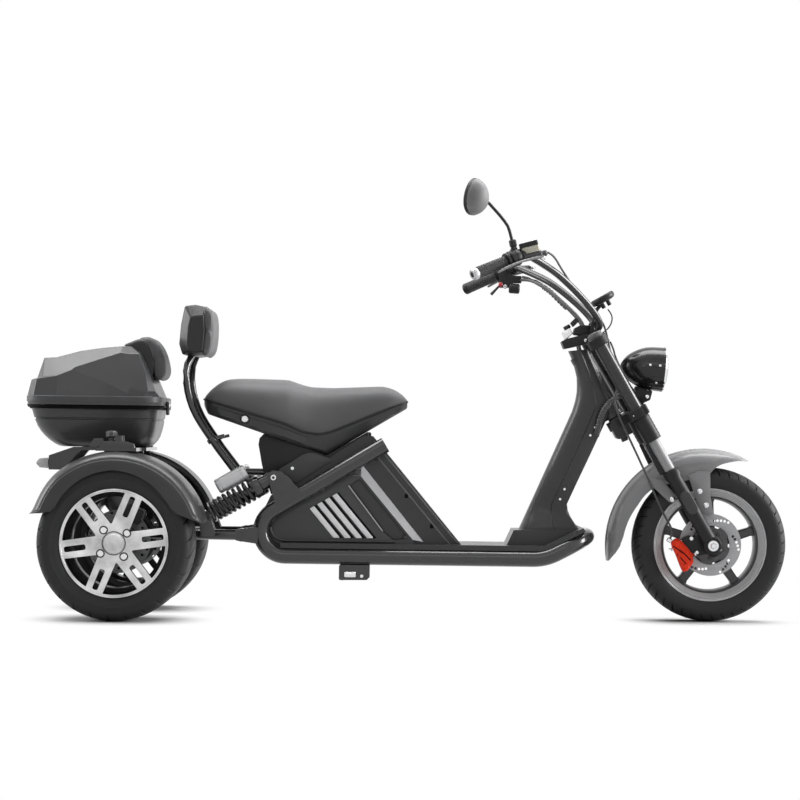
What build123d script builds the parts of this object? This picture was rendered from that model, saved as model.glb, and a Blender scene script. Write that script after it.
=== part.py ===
from build123d import *
import os
from math import cos, radians, sin, tan

# Electric trike scooter, millimetres: +X forward, +Y left, +Z up, floor at Z 0, origin under the middle

# Wheels and layout
CASE_FOOT_AHEAD = 1028  # foot of the battery case ahead of the rear axle
FOOTWELL = 139
PLINTH_BEHIND = 625  # back of the column plinth behind the front axle
REAR_TRACK = 540
BOX_REAR_REACH = 293  # back of the box hinge behind the rear axle
FRONT_TYRE_R = 236.5
FRONT_TYRE_W = 120
FRONT_FLANGE_R = 168
REAR_TYRE_R = 231
REAR_TYRE_W = 230
REAR_FLANGE_R = 161
BEAD_SEAT_R = 152
RIM_WALL = 6
RIM_DROP = 10
PIN_CLEARANCE = 0.3
SLIDE_CLEARANCE = 5

# Frame tube loop
TUBE_R = 24
TUBE_Y = 140
RAIL_Z = 190
SLOPE_DEG = 31
REAR_BEND_R = 74
BEND_BEHIND = 228  # rear corner of the loop ahead of the rear axle
SLOPE_TOP_Z = 530
NOSE_BEHIND = 378  # nose of the loop behind the front axle
NOSE_RISE = 68
NOSE_RUN = 132
NOSE_BEND_R = 100
CROSS_TUBE_R = 16

# Rear suspension
SHOCK_TOP = (458, 427)  # ahead of the rear axle, height
SHOCK_FOOT = (248, 306)
SPRING_R = 30
WIRE_R = 4
SPRING_TURNS = 8
SHOCK_ROD_R = 20
SPRING_SEAT_T = 8
SEAT_STANDOFF = 20
NECK_R = 10
EYE_R = 14
EYE_W = 34
LUG_T = 7
RESERVOIR_R = 23
RESERVOIR_L = 100
RESERVOIR_FROM = 65
RESERVOIR_RISE = 58
SWING_TUBE_R = 20
SWING_Z = 252
SWING_Y = 128
PIVOT_AHEAD = 363
PIVOT_PIN_R = 8
AXLE_TUBE_R = 30
AXLE_TUBE_END = 165
MOTOR_R = 85
MOTOR_HALF = 75

# Rear wheels and brakes
HALF_SHAFT_R = 15
HUB_R = 36
HUB_FLANGE_R = 62
LUG_CIRCLE_R = 50
LUG_STUD_R = 6
LUG_NUT_R = 10
WHEEL_BORE_R = 22
REAR_SPOKES = 6
REAR_SPOKE_DEG = 8
REAR_DISC_R = 95
REAR_DISC_Y = 215
DISC_T = 5
CALIPER_T = 45

# Front wheel and brake
AXLE_PIN_R = 10
FRONT_HUB_R = 36
FRONT_HUB_HALF = 46
FRONT_SPOKES = 5
FRONT_SPOKE_DEG = 18
FRONT_DISC_R = 95
CALIPER_DEG = 197

# Fork, from the axle along the legs
RAKE_DEG = 30
FORK_OFFSET = 60
LEG_Y = 100
LEG_R = 22.5
LEG_TOP = 253
STANCHION_R = 16.5
STANCHION_TOP = 368
SHROUD_R = 25
SLEEVE_R = 21.5
LOWER_YOKE_Z = 448
UPPER_YOKE_Z = 696
YOKE_T = 28
STEM_R = 14
HEAD_TUBE_R = 32
LEG_LUG_Y = 78

# Handlebar
BAR_R = 11
BAR_CLAMP_AT = 17.6  # ahead of the leg line
BAR_CLAMP_RISE = 22  # above the upper yoke
GRIP_END = (-746.25, 385, 1034)  # from the front axle, side, height
BAR_CREST = (-572.25, 292, 1110)
BAR_KNEE = (-356.25, 80, 965)
GRIP_R = 17.5
GRIP_L = 130

# Body panels
CASE_HALF = 112
PANEL_T = 14
PANEL_GAP = 4
DECK_T = 16
DECK_HALF = 150
COLUMN_HALF = 42
PLINTH_HALF = 100
SEAT_BOX_HALF = 100

# Seat and backrest
SEAT_REAR_HALF = 150
SEAT_FRONT_HALF = 95
PAN_INSET = 14
SEAT_GAP = 1
POST_Y = 75
POST_R = 13
BACKREST_HALF = 150

# Rear box, fenders and lamps
BOX_SEAM_Z = 637
BOX_HALF = 215
BOX_WALL = 4
SEAM_GAP = 2
BOX_LENGTH = 413
HINGE_R = 5
HINGE_PIN_R = 2.5
REAR_FENDER_GAP = 40
REAR_FENDER_Y = 400
FENDER_T = 4
RACK_T = 10
FRONT_FENDER_GAP = 62.5
FENDER_SKIRT = 50
FRONT_FENDER_HALF = 72

# Places worked out from the driving sizes
WHEELBASE = CASE_FOOT_AHEAD + FOOTWELL + PLINTH_BEHIND
REAR_X = -(WHEELBASE + FRONT_TYRE_R - BOX_REAR_REACH) / 2
FRONT_X = REAR_X + WHEELBASE
REAR_Y = REAR_TRACK / 2
REAR_Z = REAR_TYRE_R
FRONT_Z = FRONT_TYRE_R
REAR_FENDER_R = REAR_TYRE_R + REAR_FENDER_GAP
FRONT_FENDER_R = FRONT_TYRE_R + FRONT_FENDER_GAP
DECK_Z = RAIL_Z + TUBE_R + DECK_T
BEND_X = REAR_X + BEND_BEHIND
SLOPE = tan(radians(SLOPE_DEG))
NOSE_X = FRONT_X - NOSE_BEHIND
FORK = Plane(
    (FRONT_X, 0, FRONT_Z),
    x_dir=(cos(radians(RAKE_DEG)), 0, sin(radians(RAKE_DEG))),
    z_dir=(-sin(radians(RAKE_DEG)), 0, cos(radians(RAKE_DEG))),
)
ROLL_AXIS = (0, -1, 0)


def save(name, *solids):
    export_step(Compound(children=list(solids)), f"parts/{name}.step")


def outline(points, y, radius):
    corners = [(x, y, z) for x, z in points]
    if radius:
        return make_face(FilletPolyline(*corners, radius=radius, close=True))
    return make_face(Polyline(*corners, close=True))


def slab(points, y_low, y_high, radius=0):
    return extrude(outline(points, y_low, radius), amount=y_high - y_low, dir=(0, 1, 0))


def plan(points, z_low, z_high, radius=0):
    corners = [(x, y, z_low) for x, y in points]
    if radius:
        face = make_face(FilletPolyline(*corners, radius=radius, close=True))
    else:
        face = make_face(Polyline(*corners, close=True))
    return extrude(face, amount=z_high - z_low, dir=(0, 0, 1))


def block(x_low, x_high, y_low, y_high, z_low, z_high):
    middle = ((x_low + x_high) / 2, (y_low + y_high) / 2, (z_low + z_high) / 2)
    return Pos(*middle) * Box(x_high - x_low, y_high - y_low, z_high - z_low)


def rod(start, end, radius):
    line = Vector(*end) - Vector(*start)
    return Plane(start, z_dir=line) * extrude(Circle(radius), line.length)


def tube(points, radius, bends):
    path = FilletPolyline(*points, radius=bends)
    return sweep(Plane(path @ 0, z_dir=path % 0) * Circle(radius), path=path)


def turned(profile, x, z, start=0, arc=360):
    axis = Axis((x, 0, z), ROLL_AXIS)
    face = make_face(Polyline(*[(x + r, y, z) for r, y in profile], close=True))
    return revolve(face.rotate(axis, start), axis, arc)


def across(x, z, radius, y_low, y_high):
    return rod((x, y_low, z), (x, y_high, z), radius)


def spun(points, x, z, angle):
    c = cos(radians(angle))
    s = sin(radians(angle))
    return [(x + r * c - t * s, z + r * s + t * c) for r, t in points]


def both(shape):
    return [shape, mirror(shape, about=Plane.XZ)]


def largest(shape):
    return max(shape.solids(), key=lambda solid: solid.volume)


def from_rear(points):
    return [(REAR_X + x, z) for x, z in points]


def from_front(points):
    return [(FRONT_X + x, z) for x, z in points]


def on_fork(x, y, z):
    return tuple(FORK.from_local_coords((x, y, z)))


os.makedirs("parts", exist_ok=True)

# Tyres: section as shares of the height over the bead and of the half width
TREAD_SECTION = [(0.45, 0.98), (0.62, 1.0), (0.84, 0.93), (0.96, 0.77), (1.0, 0.38)]
CAVITY_SECTION = [(0.0, 0.70), (0.62, 0.86), (0.84, 0.55)]
BEAD_SHARE = 0.82


def tyre(x, y, z, radius, width, flange_r):
    height = radius - BEAD_SEAT_R
    half = width / 2
    bead = BEAD_SHARE * half
    outer = [(BEAD_SEAT_R, bead), (flange_r + 1, bead)]
    outer += [(BEAD_SEAT_R + h * height, w * half) for h, w in TREAD_SECTION]
    inner = [(BEAD_SEAT_R + h * height, w * half) for h, w in CAVITY_SECTION]
    ring = outer + [(r, -w) for r, w in reversed(outer)]
    ring += [(r, -w) for r, w in inner] + [(r, w) for r, w in reversed(inner)]
    return turned([(r, y + w) for r, w in ring], x, z)


def rim_barrel(x, y, z, width, flange_r):
    bead = BEAD_SHARE * width / 2
    seat_in = BEAD_SEAT_R - RIM_WALL
    drop = BEAD_SEAT_R - RIM_DROP
    outer = [
        (flange_r, bead + RIM_WALL),
        (flange_r, bead),
        (BEAD_SEAT_R, bead),
        (BEAD_SEAT_R, bead * 0.75),
        (drop, bead * 0.5),
    ]
    inner = [
        (drop - RIM_WALL, bead * 0.5),
        (seat_in, bead * 0.75),
        (seat_in, bead + RIM_WALL),
    ]
    ring = outer + [(r, -w) for r, w in reversed(outer)]
    ring += [(r, -w) for r, w in reversed(inner)] + inner
    return turned([(r, y + w) for r, w in ring], x, z)


# Rear wheels: cast face of twin spokes in a deep barrel, bolted to a hub on the half shaft
FACE_IN = 72
FACE_OUT = 86
WINDOW = [(62, -10), (62, 10), (126, 43), (137, 22), (137, -22), (126, -43)]
SLOT = [(80, -6), (80, 6), (131, 8), (131, -8)]


def rear_rim(side):
    y = side * REAR_Y
    face = sorted((y + side * FACE_IN, y + side * FACE_OUT))
    disc = across(REAR_X, REAR_Z, BEAD_SEAT_R - RIM_WALL / 2, *face)
    lows = (face[0] - 10, face[1] + 10)
    disc -= across(REAR_X, REAR_Z, WHEEL_BORE_R, *lows)
    for k in range(REAR_SPOKES):
        spoke = REAR_SPOKE_DEG + k * 360 / REAR_SPOKES
        between = spoke + 180 / REAR_SPOKES
        disc -= slab(spun(WINDOW, REAR_X, REAR_Z, between), *lows, radius=6)
        disc -= slab(spun(SLOT, REAR_X, REAR_Z, spoke), *lows, radius=5)
    for x, z in lug_places():
        disc -= across(x, z, LUG_STUD_R + 1, *lows)
    return rim_barrel(REAR_X, y, REAR_Z, REAR_TYRE_W, REAR_FLANGE_R) + disc


def lug_places():
    places = [(LUG_CIRCLE_R, 0)]
    return [spun(places, REAR_X, REAR_Z, 38 + 90 * k)[0] for k in range(4)]


def rear_hub(side):
    y = side * REAR_Y
    face = REAR_Y + FACE_IN
    steps = [
        (0, REAR_Y - 180),
        (HALF_SHAFT_R, REAR_Y - 180),
        (HALF_SHAFT_R, AXLE_TUBE_END + 7),
        (HUB_R, AXLE_TUBE_END + 7),
        (HUB_R, REAR_DISC_Y),
        (REAR_DISC_R, REAR_DISC_Y),
        (REAR_DISC_R, REAR_DISC_Y + DISC_T),
        (HUB_R, REAR_DISC_Y + DISC_T),
        (HUB_R, face - 12),
        (HUB_FLANGE_R, face - 12),
        (HUB_FLANGE_R, face),
        (WHEEL_BORE_R - PIN_CLEARANCE, face),
        (WHEEL_BORE_R - PIN_CLEARANCE, face + 22),
        (0, face + 22),
    ]
    hub = turned([(r, side * w) for r, w in steps], REAR_X, REAR_Z)
    for x, z in lug_places():
        ends = sorted((side * (face - 2), y + side * (FACE_OUT + 14)))
        nut = sorted((y + side * FACE_OUT, y + side * (FACE_OUT + 12)))
        hub += across(x, z, LUG_STUD_R, *ends)
        hub += across(x, z, LUG_NUT_R, *nut)
    return hub


for side, name in ((-1, "right"), (1, "left")):
    wheel_y = side * REAR_Y
    save(f"rear_tyre_{name}", tyre(REAR_X, wheel_y, REAR_Z, REAR_TYRE_R, REAR_TYRE_W, REAR_FLANGE_R))
    save(f"rear_rim_{name}", rear_rim(side))
    save(f"rear_hub_{name}", rear_hub(side))

# Front wheel: five straight spokes, hub on a fixed axle pin, brake disc on the right end of the hub
save("front_tyre", tyre(FRONT_X, 0, FRONT_Z, FRONT_TYRE_R, FRONT_TYRE_W, FRONT_FLANGE_R))
HUB_STUB_R = AXLE_PIN_R + 6
HUB_STUB_HALF = 62
spoke_end = BEAD_SEAT_R - RIM_DROP - RIM_WALL / 2
front_rim = rim_barrel(FRONT_X, 0, FRONT_Z, FRONT_TYRE_W, FRONT_FLANGE_R)
front_rim += across(FRONT_X, FRONT_Z, FRONT_HUB_R, -FRONT_HUB_HALF, FRONT_HUB_HALF)
front_rim += across(FRONT_X, FRONT_Z, HUB_STUB_R, -HUB_STUB_HALF, HUB_STUB_HALF)
SPOKE = [(FRONT_HUB_R - 8, -19), (FRONT_HUB_R - 8, 19), (spoke_end, 14), (spoke_end, -14)]
for k in range(FRONT_SPOKES):
    angle = FRONT_SPOKE_DEG + k * 360 / FRONT_SPOKES
    front_rim += slab(spun(SPOKE, FRONT_X, FRONT_Z, angle), -14, 14)
axle_bore = AXLE_PIN_R + PIN_CLEARANCE
front_rim -= across(FRONT_X, FRONT_Z, axle_bore, -HUB_STUB_HALF, HUB_STUB_HALF)
save("front_rim", front_rim)

disc_in = -FRONT_HUB_HALF
disc_out = disc_in - DISC_T
front_disc = across(FRONT_X, FRONT_Z, FRONT_DISC_R, disc_out, disc_in)
WEDGE = [(46, -8), (46, 8), (62, 24), (62, -24)]
HOLE = [(78, 0)]
for k in range(FRONT_SPOKES):
    angle = 54 + k * 360 / FRONT_SPOKES
    front_disc -= slab(spun(WEDGE, FRONT_X, FRONT_Z, angle), disc_out, disc_in, radius=4)
    for turn in (-20, 0, 20):
        x, z = spun(HOLE, FRONT_X, FRONT_Z, angle + turn)[0]
        front_disc -= across(x, z, 4.5, disc_out, disc_in)
front_disc -= across(FRONT_X, FRONT_Z, HUB_STUB_R + PIN_CLEARANCE, disc_out, disc_in)
save("front_disc", front_disc)

# Frame: one bent tube loop with cross tubes, shock brackets, pivot lugs and the stand bracket welded on
slope_top_x = BEND_X + (SLOPE_TOP_Z - RAIL_Z) / SLOPE
loop = [
    (slope_top_x, -TUBE_Y, SLOPE_TOP_Z),
    (BEND_X, -TUBE_Y, RAIL_Z),
    (NOSE_X - NOSE_RUN, -TUBE_Y, RAIL_Z),
    (NOSE_X, -TUBE_Y, RAIL_Z + NOSE_RISE),
]
loop += [(x, -y, z) for x, y, z in reversed(loop)]
bends = [REAR_BEND_R, 150, NOSE_BEND_R, NOSE_BEND_R, 150, REAR_BEND_R]
frame_tube = tube(loop, TUBE_R, bends)
bend_back_x = BEND_X + REAR_BEND_R / tan(radians(SLOPE_DEG / 2)) - REAR_BEND_R
frame = frame_tube
for x, z in ((bend_back_x, RAIL_Z + REAR_BEND_R), (REAR_X + 700, RAIL_Z), (NOSE_X - 190, RAIL_Z)):
    frame += across(x, z, CROSS_TUBE_R, -TUBE_Y, TUBE_Y)

shock_top_x = REAR_X + SHOCK_TOP[0]
shock_top_z = SHOCK_TOP[1]
shock_foot_x = REAR_X + SHOCK_FOOT[0]
shock_foot_z = SHOCK_FOOT[1]
slope_at_shock = RAIL_Z + (shock_top_x - BEND_X) * SLOPE
bracket_points = [
    (shock_top_x - 15, shock_top_z - 8),
    (shock_top_x - 15, shock_top_z + 12),
    (shock_top_x - 4, shock_top_z + 22),
    (shock_top_x + 26, shock_top_z + 18),
    (shock_top_x + 90, slope_at_shock + 90 * SLOPE),
    (shock_top_x + 10, slope_at_shock + 10 * SLOPE),
]
eye_half = EYE_W / 2
pivot_x = REAR_X + PIVOT_AHEAD
lug_points = [
    (pivot_x - 20, SWING_Z - 16),
    (pivot_x - 20, SWING_Z + 16),
    (pivot_x + 50, SWING_Z + 26),
    (pivot_x + 50, SWING_Z - 26),
]
STAND_AHEAD = 662
STAND_W = 90
STAND_DROP = 48
stand_x = REAR_X + STAND_AHEAD
stand_z = RAIL_Z - TUBE_R
STAND_HOLE_R = 4.25
for side in (-1, 1):
    for inner in (eye_half, -eye_half - LUG_T):
        low = side * TUBE_Y + inner
        frame += slab(bracket_points, low, low + LUG_T, radius=5)
        frame += slab(lug_points, low, low + LUG_T, radius=8)
    frame -= across(shock_top_x, shock_top_z, PIVOT_PIN_R, side * TUBE_Y - 40, side * TUBE_Y + 40)
    frame -= across(pivot_x, SWING_Z, PIVOT_PIN_R, side * TUBE_Y - 40, side * TUBE_Y + 40)
stand_points = [
    (stand_x, stand_z + 8),
    (stand_x, stand_z - STAND_DROP),
    (stand_x + STAND_W, stand_z - STAND_DROP + 8),
    (stand_x + STAND_W, stand_z + 8),
]
frame += slab(stand_points, -TUBE_Y - 4, -TUBE_Y + 4, radius=6)
frame -= across(stand_x + 66, stand_z - 24, STAND_HOLE_R, -TUBE_Y - 10, -TUBE_Y + 10)
save("frame", frame)

# Rear swing arm: two tubes from the pivots to the axle tubes, shock feet and brake brackets welded on
swing_arm = None
for side in (-1, 1):
    y = side * TUBE_Y
    arm_y = side * SWING_Y
    route = [(pivot_x, y), (pivot_x - 40, y), (pivot_x - 130, arm_y), (REAR_X, arm_y)]
    arm = tube([(x, across_y, SWING_Z) for x, across_y in route], SWING_TUBE_R - 4, [60, 60])
    arm += across(pivot_x, SWING_Z, SWING_TUBE_R, y - eye_half + 0.5, y + eye_half - 0.5)
    ends = sorted((side * MOTOR_HALF, side * AXLE_TUBE_END))
    arm += across(REAR_X, REAR_Z, AXLE_TUBE_R, *ends)
    foot = [
        (shock_foot_x - 8, SWING_Z),
        (shock_foot_x - 16, shock_foot_z + 6),
        (shock_foot_x - 6, shock_foot_z + 16),
        (shock_foot_x + 14, shock_foot_z + 16),
        (shock_foot_x + 40, SWING_Z),
    ]
    for inner in (eye_half, -eye_half - LUG_T):
        arm += slab(foot, y + inner, y + inner + LUG_T, radius=5)
    foot_half = eye_half + LUG_T
    arm += block(shock_foot_x - 8, shock_foot_x + 34, y - foot_half, y + foot_half, SWING_Z - 6, SWING_Z + 6)
    arm -= across(shock_foot_x, shock_foot_z, PIVOT_PIN_R, y - 40, y + 40)
    arm -= across(pivot_x, SWING_Z, PIVOT_PIN_R, y - 40, y + 40)
    plate = spun([(0, -26), (0, 26), (112, 30), (112, -30)], REAR_X, REAR_Z, 62)
    plate_ends = sorted((side * (AXLE_TUBE_END - 8), side * AXLE_TUBE_END))
    arm += slab(plate, *plate_ends, radius=8)
    shaft_bore = HALF_SHAFT_R + PIN_CLEARANCE
    arm -= across(REAR_X, REAR_Z, shaft_bore, *sorted((side * (REAR_Y - 185), side * (AXLE_TUBE_END + 1))))
    swing_arm = arm if swing_arm is None else swing_arm + arm
cross_x = REAR_X + 150
swing_arm += across(cross_x, SWING_Z, SWING_TUBE_R - 5, -SWING_Y, SWING_Y)
motor_gap = MOTOR_R + 2
swing_arm -= across(REAR_X, REAR_Z, motor_gap, -MOTOR_HALF, MOTOR_HALF)
save("swing_arm", swing_arm)
pins = []
for side in (-1, 1):
    y = side * TUBE_Y
    reach = eye_half + LUG_T + 4
    for x, z in ((pivot_x, SWING_Z), (shock_top_x, shock_top_z), (shock_foot_x, shock_foot_z)):
        pins.append(across(x, z, PIVOT_PIN_R, y - reach, y + reach))

# Drive unit between the axle tubes
motor_profile = [
    (0, -MOTOR_HALF),
    (AXLE_TUBE_R + 12, -MOTOR_HALF),
    (MOTOR_R - 14, -MOTOR_HALF + 18),
    (MOTOR_R, -MOTOR_HALF + 26),
    (MOTOR_R, MOTOR_HALF - 26),
    (MOTOR_R - 14, MOTOR_HALF - 18),
    (AXLE_TUBE_R + 12, MOTOR_HALF),
    (0, MOTOR_HALF),
]
save("drive_unit", turned(motor_profile, REAR_X, REAR_Z))

# Rear calipers over the discs, bolted to the brackets of the swing arm
calipers = []
for side in (-1, 1):
    ends = sorted((side * AXLE_TUBE_END, side * (REAR_DISC_Y + CALIPER_T / 2)))
    body = slab(spun([(70, -30), (70, 30), (116, 26), (116, -26)], REAR_X, REAR_Z, 62), *ends, radius=8)
    gap = sorted((side * (REAR_DISC_Y - SLIDE_CLEARANCE), side * (REAR_DISC_Y + DISC_T + SLIDE_CLEARANCE)))
    body -= across(REAR_X, REAR_Z, REAR_DISC_R + SLIDE_CLEARANCE, *gap)
    calipers.append(body)
save("rear_calipers", *calipers)

# Shock absorbers: a coil spring round the damper between two eyes, with a reservoir on a neck above it
shock_line = Vector(shock_foot_x - shock_top_x, 0, shock_foot_z - shock_top_z)
shock_length = shock_line.length
spring_from = EYE_R + SEAT_STANDOFF + SPRING_SEAT_T
spring_to = shock_length - spring_from
spring_pitch = (spring_to - spring_from) / SPRING_TURNS
damper_profile = [(0, 0), (SHOCK_ROD_R - 6, 0), (SHOCK_ROD_R - 6, spring_from - SPRING_SEAT_T)]
damper_profile += [(SPRING_R, spring_from - SPRING_SEAT_T), (SPRING_R, spring_from)]
for k in range(SPRING_TURNS):
    coil = spring_from + (k + 0.5) * spring_pitch
    damper_profile += [
        (SHOCK_ROD_R, coil - 2 * WIRE_R),
        (SPRING_R, coil - WIRE_R / 2),
        (SPRING_R, coil + WIRE_R / 2),
        (SHOCK_ROD_R, coil + 2 * WIRE_R),
    ]
damper_profile += [(SPRING_R, spring_to), (SPRING_R, spring_to + SPRING_SEAT_T)]
damper_profile += [(SHOCK_ROD_R - 6, spring_to + SPRING_SEAT_T)]
damper_profile += [(SHOCK_ROD_R - 6, shock_length), (0, shock_length)]
damper_face = make_face(Polyline(*[(r, 0, h) for r, h in damper_profile], close=True))
damper_form = revolve(damper_face, Axis.Z, 360)
shocks = []
for side in (-1, 1):
    y = side * TUBE_Y
    damper = Plane((shock_top_x, y, shock_top_z), x_dir=(0, 1, 0), z_dir=shock_line)
    shock = damper * damper_form
    for x, z in ((shock_top_x, shock_top_z), (shock_foot_x, shock_foot_z)):
        shock += across(x, z, EYE_R, y - eye_half + 0.5, y + eye_half - 0.5)
        shock -= across(x, z, PIVOT_PIN_R, y - 40, y + 40)
    above = (0, -RESERVOIR_RISE)
    tank_from = damper.from_local_coords((*above, RESERVOIR_FROM))
    tank_to = damper.from_local_coords((*above, RESERVOIR_FROM + RESERVOIR_L))
    neck_to = damper.from_local_coords((*above, RESERVOIR_FROM + NECK_R))
    shock += rod(tuple(damper.from_local_coords((0, 0, RESERVOIR_FROM - NECK_R))), tuple(neck_to), NECK_R)
    shock += rod(tuple(tank_from), tuple(tank_to), RESERVOIR_R)
    shocks.append(shock)
save("shocks", *shocks)

# Battery case between the slope tubes, with the seat box above its back
CASE_TOP = (756, 556)
case_top_x = REAR_X + CASE_TOP[0]
case_foot_x = REAR_X + CASE_FOOT_AHEAD
case_back = [(428, 330), (428, 280), (468, DECK_Z)]
case_points = [(case_foot_x, DECK_Z), (case_top_x, CASE_TOP[1]), (case_top_x - 28, CASE_TOP[1])]
CASE_ROOF_SLOPE = 0.657


def case_roof(x):
    return CASE_TOP[1] + (x - case_top_x + 28) * CASE_ROOF_SLOPE


case_points += [(REAR_X + 448, case_roof(REAR_X + 448))]
case_points += from_rear(case_back)
battery_case = slab(case_points, -CASE_HALF, CASE_HALF)
battery_case -= frame
hinge_x = case_top_x - 12
SEAT_PIN_R = 3.5
EAR_R = 6
hinge_z = CASE_TOP[1] + EAR_R
for side in (-1, 1):
    ends = sorted((side * 30, side * 40))
    battery_case += across(hinge_x, hinge_z, EAR_R, *ends)
    battery_case += block(hinge_x - EAR_R, hinge_x + EAR_R, *ends, CASE_TOP[1] - 1, hinge_z)
    battery_case -= across(hinge_x, hinge_z, SEAT_PIN_R, *ends)
save("battery_case", battery_case)

# Seat: a padded top on a moulded pan, hinged at the nose of the battery case
PAN_BOTTOM = [(260, 616), (618, 497), (853, 634)]
PAD_LINE = [(859, 661), (584, 563), (241, 667)]
PAD_TOP = [(241, 667), (285, 716), (312, 726), (500, 727), (577, 704), (770, 711), (815, 700), (859, 661)]


def seat_plan(inset):
    rear = SEAT_REAR_HALF - inset
    front = SEAT_FRONT_HALF - inset
    stations = [(235, rear * 0.72), (300, rear), (480, rear * 0.97)]
    stations += [(640, front), (800, front * 0.9), (865, front * 0.5)]
    points = [(REAR_X + x, -half) for x, half in stations]
    points += [(x, -y) for x, y in reversed(points)]
    return plan(points, 450, 800, radius=30)


pad = slab(from_rear(PAD_TOP + PAD_LINE[1:2]), -SEAT_REAR_HALF, SEAT_REAR_HALF) & seat_plan(0)
save("seat_pad", pad)
pan = slab(from_rear(PAN_BOTTOM + PAD_LINE), -SEAT_REAR_HALF, SEAT_REAR_HALF) & seat_plan(PAN_INSET)
knuckle = across(hinge_x, hinge_z, EAR_R - 0.5, -29, 29)
knuckle += block(hinge_x - 4, hinge_x + 4, -29, 29, hinge_z, hinge_z + 14)
pan += knuckle
pan -= across(hinge_x, hinge_z, SEAT_PIN_R + PIN_CLEARANCE, -29, 29)
save("seat_pan", pan)
pins.append(across(hinge_x, hinge_z, SEAT_PIN_R, -40, 40))
lock_y = -(SEAT_REAR_HALF - PAN_INSET) * 0.985
lock = across(REAR_X + 368, 603, 12, lock_y - 5, lock_y + 30)
save("seat_lock", lock - pan)

# Seat box under the back of the seat
pan_slope = (PAN_BOTTOM[1][1] - PAN_BOTTOM[0][1]) / (PAN_BOTTOM[1][0] - PAN_BOTTOM[0][0])


def pan_under(ahead):
    return PAN_BOTTOM[0][1] + (ahead - PAN_BOTTOM[0][0]) * pan_slope - SEAT_GAP


BOX_BACK = 407
BOX_FRONT = 606
box_points = [
    (REAR_X + BOX_FRONT, case_roof(REAR_X + BOX_FRONT)),
    (REAR_X + 448, case_roof(REAR_X + 448)),
    (REAR_X + BOX_BACK, 450),
    (REAR_X + BOX_BACK, pan_under(BOX_BACK)),
    (REAR_X + BOX_FRONT, pan_under(BOX_FRONT)),
]
save("seat_box", slab(box_points, -SEAT_BOX_HALF, SEAT_BOX_HALF))

# Side panels inside the tube loop, pressed with a triangle near the front edge and carrying louvre slats
panel_low = DECK_Z + 1
inner_drop = (TUBE_R + PANEL_GAP) / cos(radians(SLOPE_DEG))


def slope_under(x):
    return RAIL_Z + (x - BEND_X) * SLOPE - inner_drop


front_lean = (case_foot_x - case_top_x) / (CASE_TOP[1] - DECK_Z)
panel_foot_x = case_foot_x - 14
bend_mid_x = bend_back_x + REAR_BEND_R
bend_mid_z = RAIL_Z + REAR_BEND_R
inner_bend = REAR_BEND_R - TUBE_R - PANEL_GAP
panel_top_z = (slope_under(panel_foot_x) + SLOPE * front_lean * panel_low) / (1 + SLOPE * front_lean)
panel_top_x = panel_foot_x - (panel_top_z - panel_low) * front_lean
panel_points = [
    (panel_foot_x, panel_low),
    (panel_top_x, panel_top_z),
    (bend_mid_x - inner_bend * sin(radians(SLOPE_DEG)), bend_mid_z + inner_bend * cos(radians(SLOPE_DEG))),
    (bend_mid_x - inner_bend, bend_mid_z),
    (bend_mid_x - inner_bend * 0.6, panel_low),
]
RECESS = [(842, 300), (790, 400), (700, 300)]
SLATS = 4
SLAT_FIRST = 612
SLAT_PITCH = 30
SLAT_W = 15
SLAT_Z = (254, 342)
SLAT_LEAN = -46
panels = []
slats = []
for side in (-1, 1):
    ends = sorted((side * CASE_HALF, side * (CASE_HALF + PANEL_T)))
    skin = sorted((side * (CASE_HALF + PANEL_T - 4), side * (CASE_HALF + PANEL_T)))
    panel = slab(panel_points, *ends)
    panel -= slab(from_rear(RECESS), *skin, radius=8)
    for k in range(SLATS):
        x = SLAT_FIRST + k * SLAT_PITCH
        foot = [(x, SLAT_Z[0]), (x + SLAT_W, SLAT_Z[0])]
        head = [(x + SLAT_W + SLAT_LEAN, SLAT_Z[1]), (x + SLAT_LEAN, SLAT_Z[1])]
        slat = slab(from_rear(foot + head), *skin)
        panel -= slat
        slats.append(slat)
    panels.append(panel)
save("side_panels", *panels)
save("panel_slats", *slats)

# Deck between the rails, and the plinth that carries the column
deck_points = [
    (bend_back_x + 60, DECK_Z - DECK_T),
    (NOSE_X - NOSE_RUN, DECK_Z - DECK_T),
    (NOSE_X - 10, DECK_Z - DECK_T + NOSE_RISE - 6),
    (NOSE_X - 18, DECK_Z + NOSE_RISE - 12),
    (NOSE_X - NOSE_RUN - 4, DECK_Z),
    (bend_back_x + 60, DECK_Z),
]
deck = slab(deck_points, -DECK_HALF, DECK_HALF)
deck -= frame
PLINTH_Z = 276
plinth_points = [
    (FRONT_X - PLINTH_BEHIND, DECK_Z),
    (FRONT_X - PLINTH_BEHIND + 21, PLINTH_Z),
    (NOSE_X - 39, PLINTH_Z),
    (NOSE_X - NOSE_RUN - 4, DECK_Z),
]
plinth = slab(plinth_points, -PLINTH_HALF, PLINTH_HALF) - deck
save("deck", deck)
save("column_plinth", plinth)

# Steering column: a pressed box leaning to the head tube, wide at its foot
COLUMN_BACK = [(-585, PLINTH_Z), (-422, 647), (-410, 706), (-412, 750), (-446, 830)]
COLUMN_FRONT = [(-380, 830), (-304, 661), (-322, 612), (-438, 355), (-432, 318), (-398, PLINTH_Z)]
column = slab(from_front(COLUMN_BACK + COLUMN_FRONT), -COLUMN_HALF, COLUMN_HALF)
head_low = LOWER_YOKE_Z + YOKE_T + 8
head_high = UPPER_YOKE_Z - 8
head = FORK * Pos(-FORK_OFFSET, 0, head_low) * extrude(Circle(HEAD_TUBE_R), head_high - head_low)
column += head
clear_top = FORK * Pos(-FORK_OFFSET, 0, head_high) * extrude(Circle(160), 200)
clear_low = FORK * Pos(-FORK_OFFSET, 0, head_low - 80) * extrude(Circle(HEAD_TUBE_R + 12), 80)
column -= deck
column -= clear_top
column -= clear_low
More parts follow.
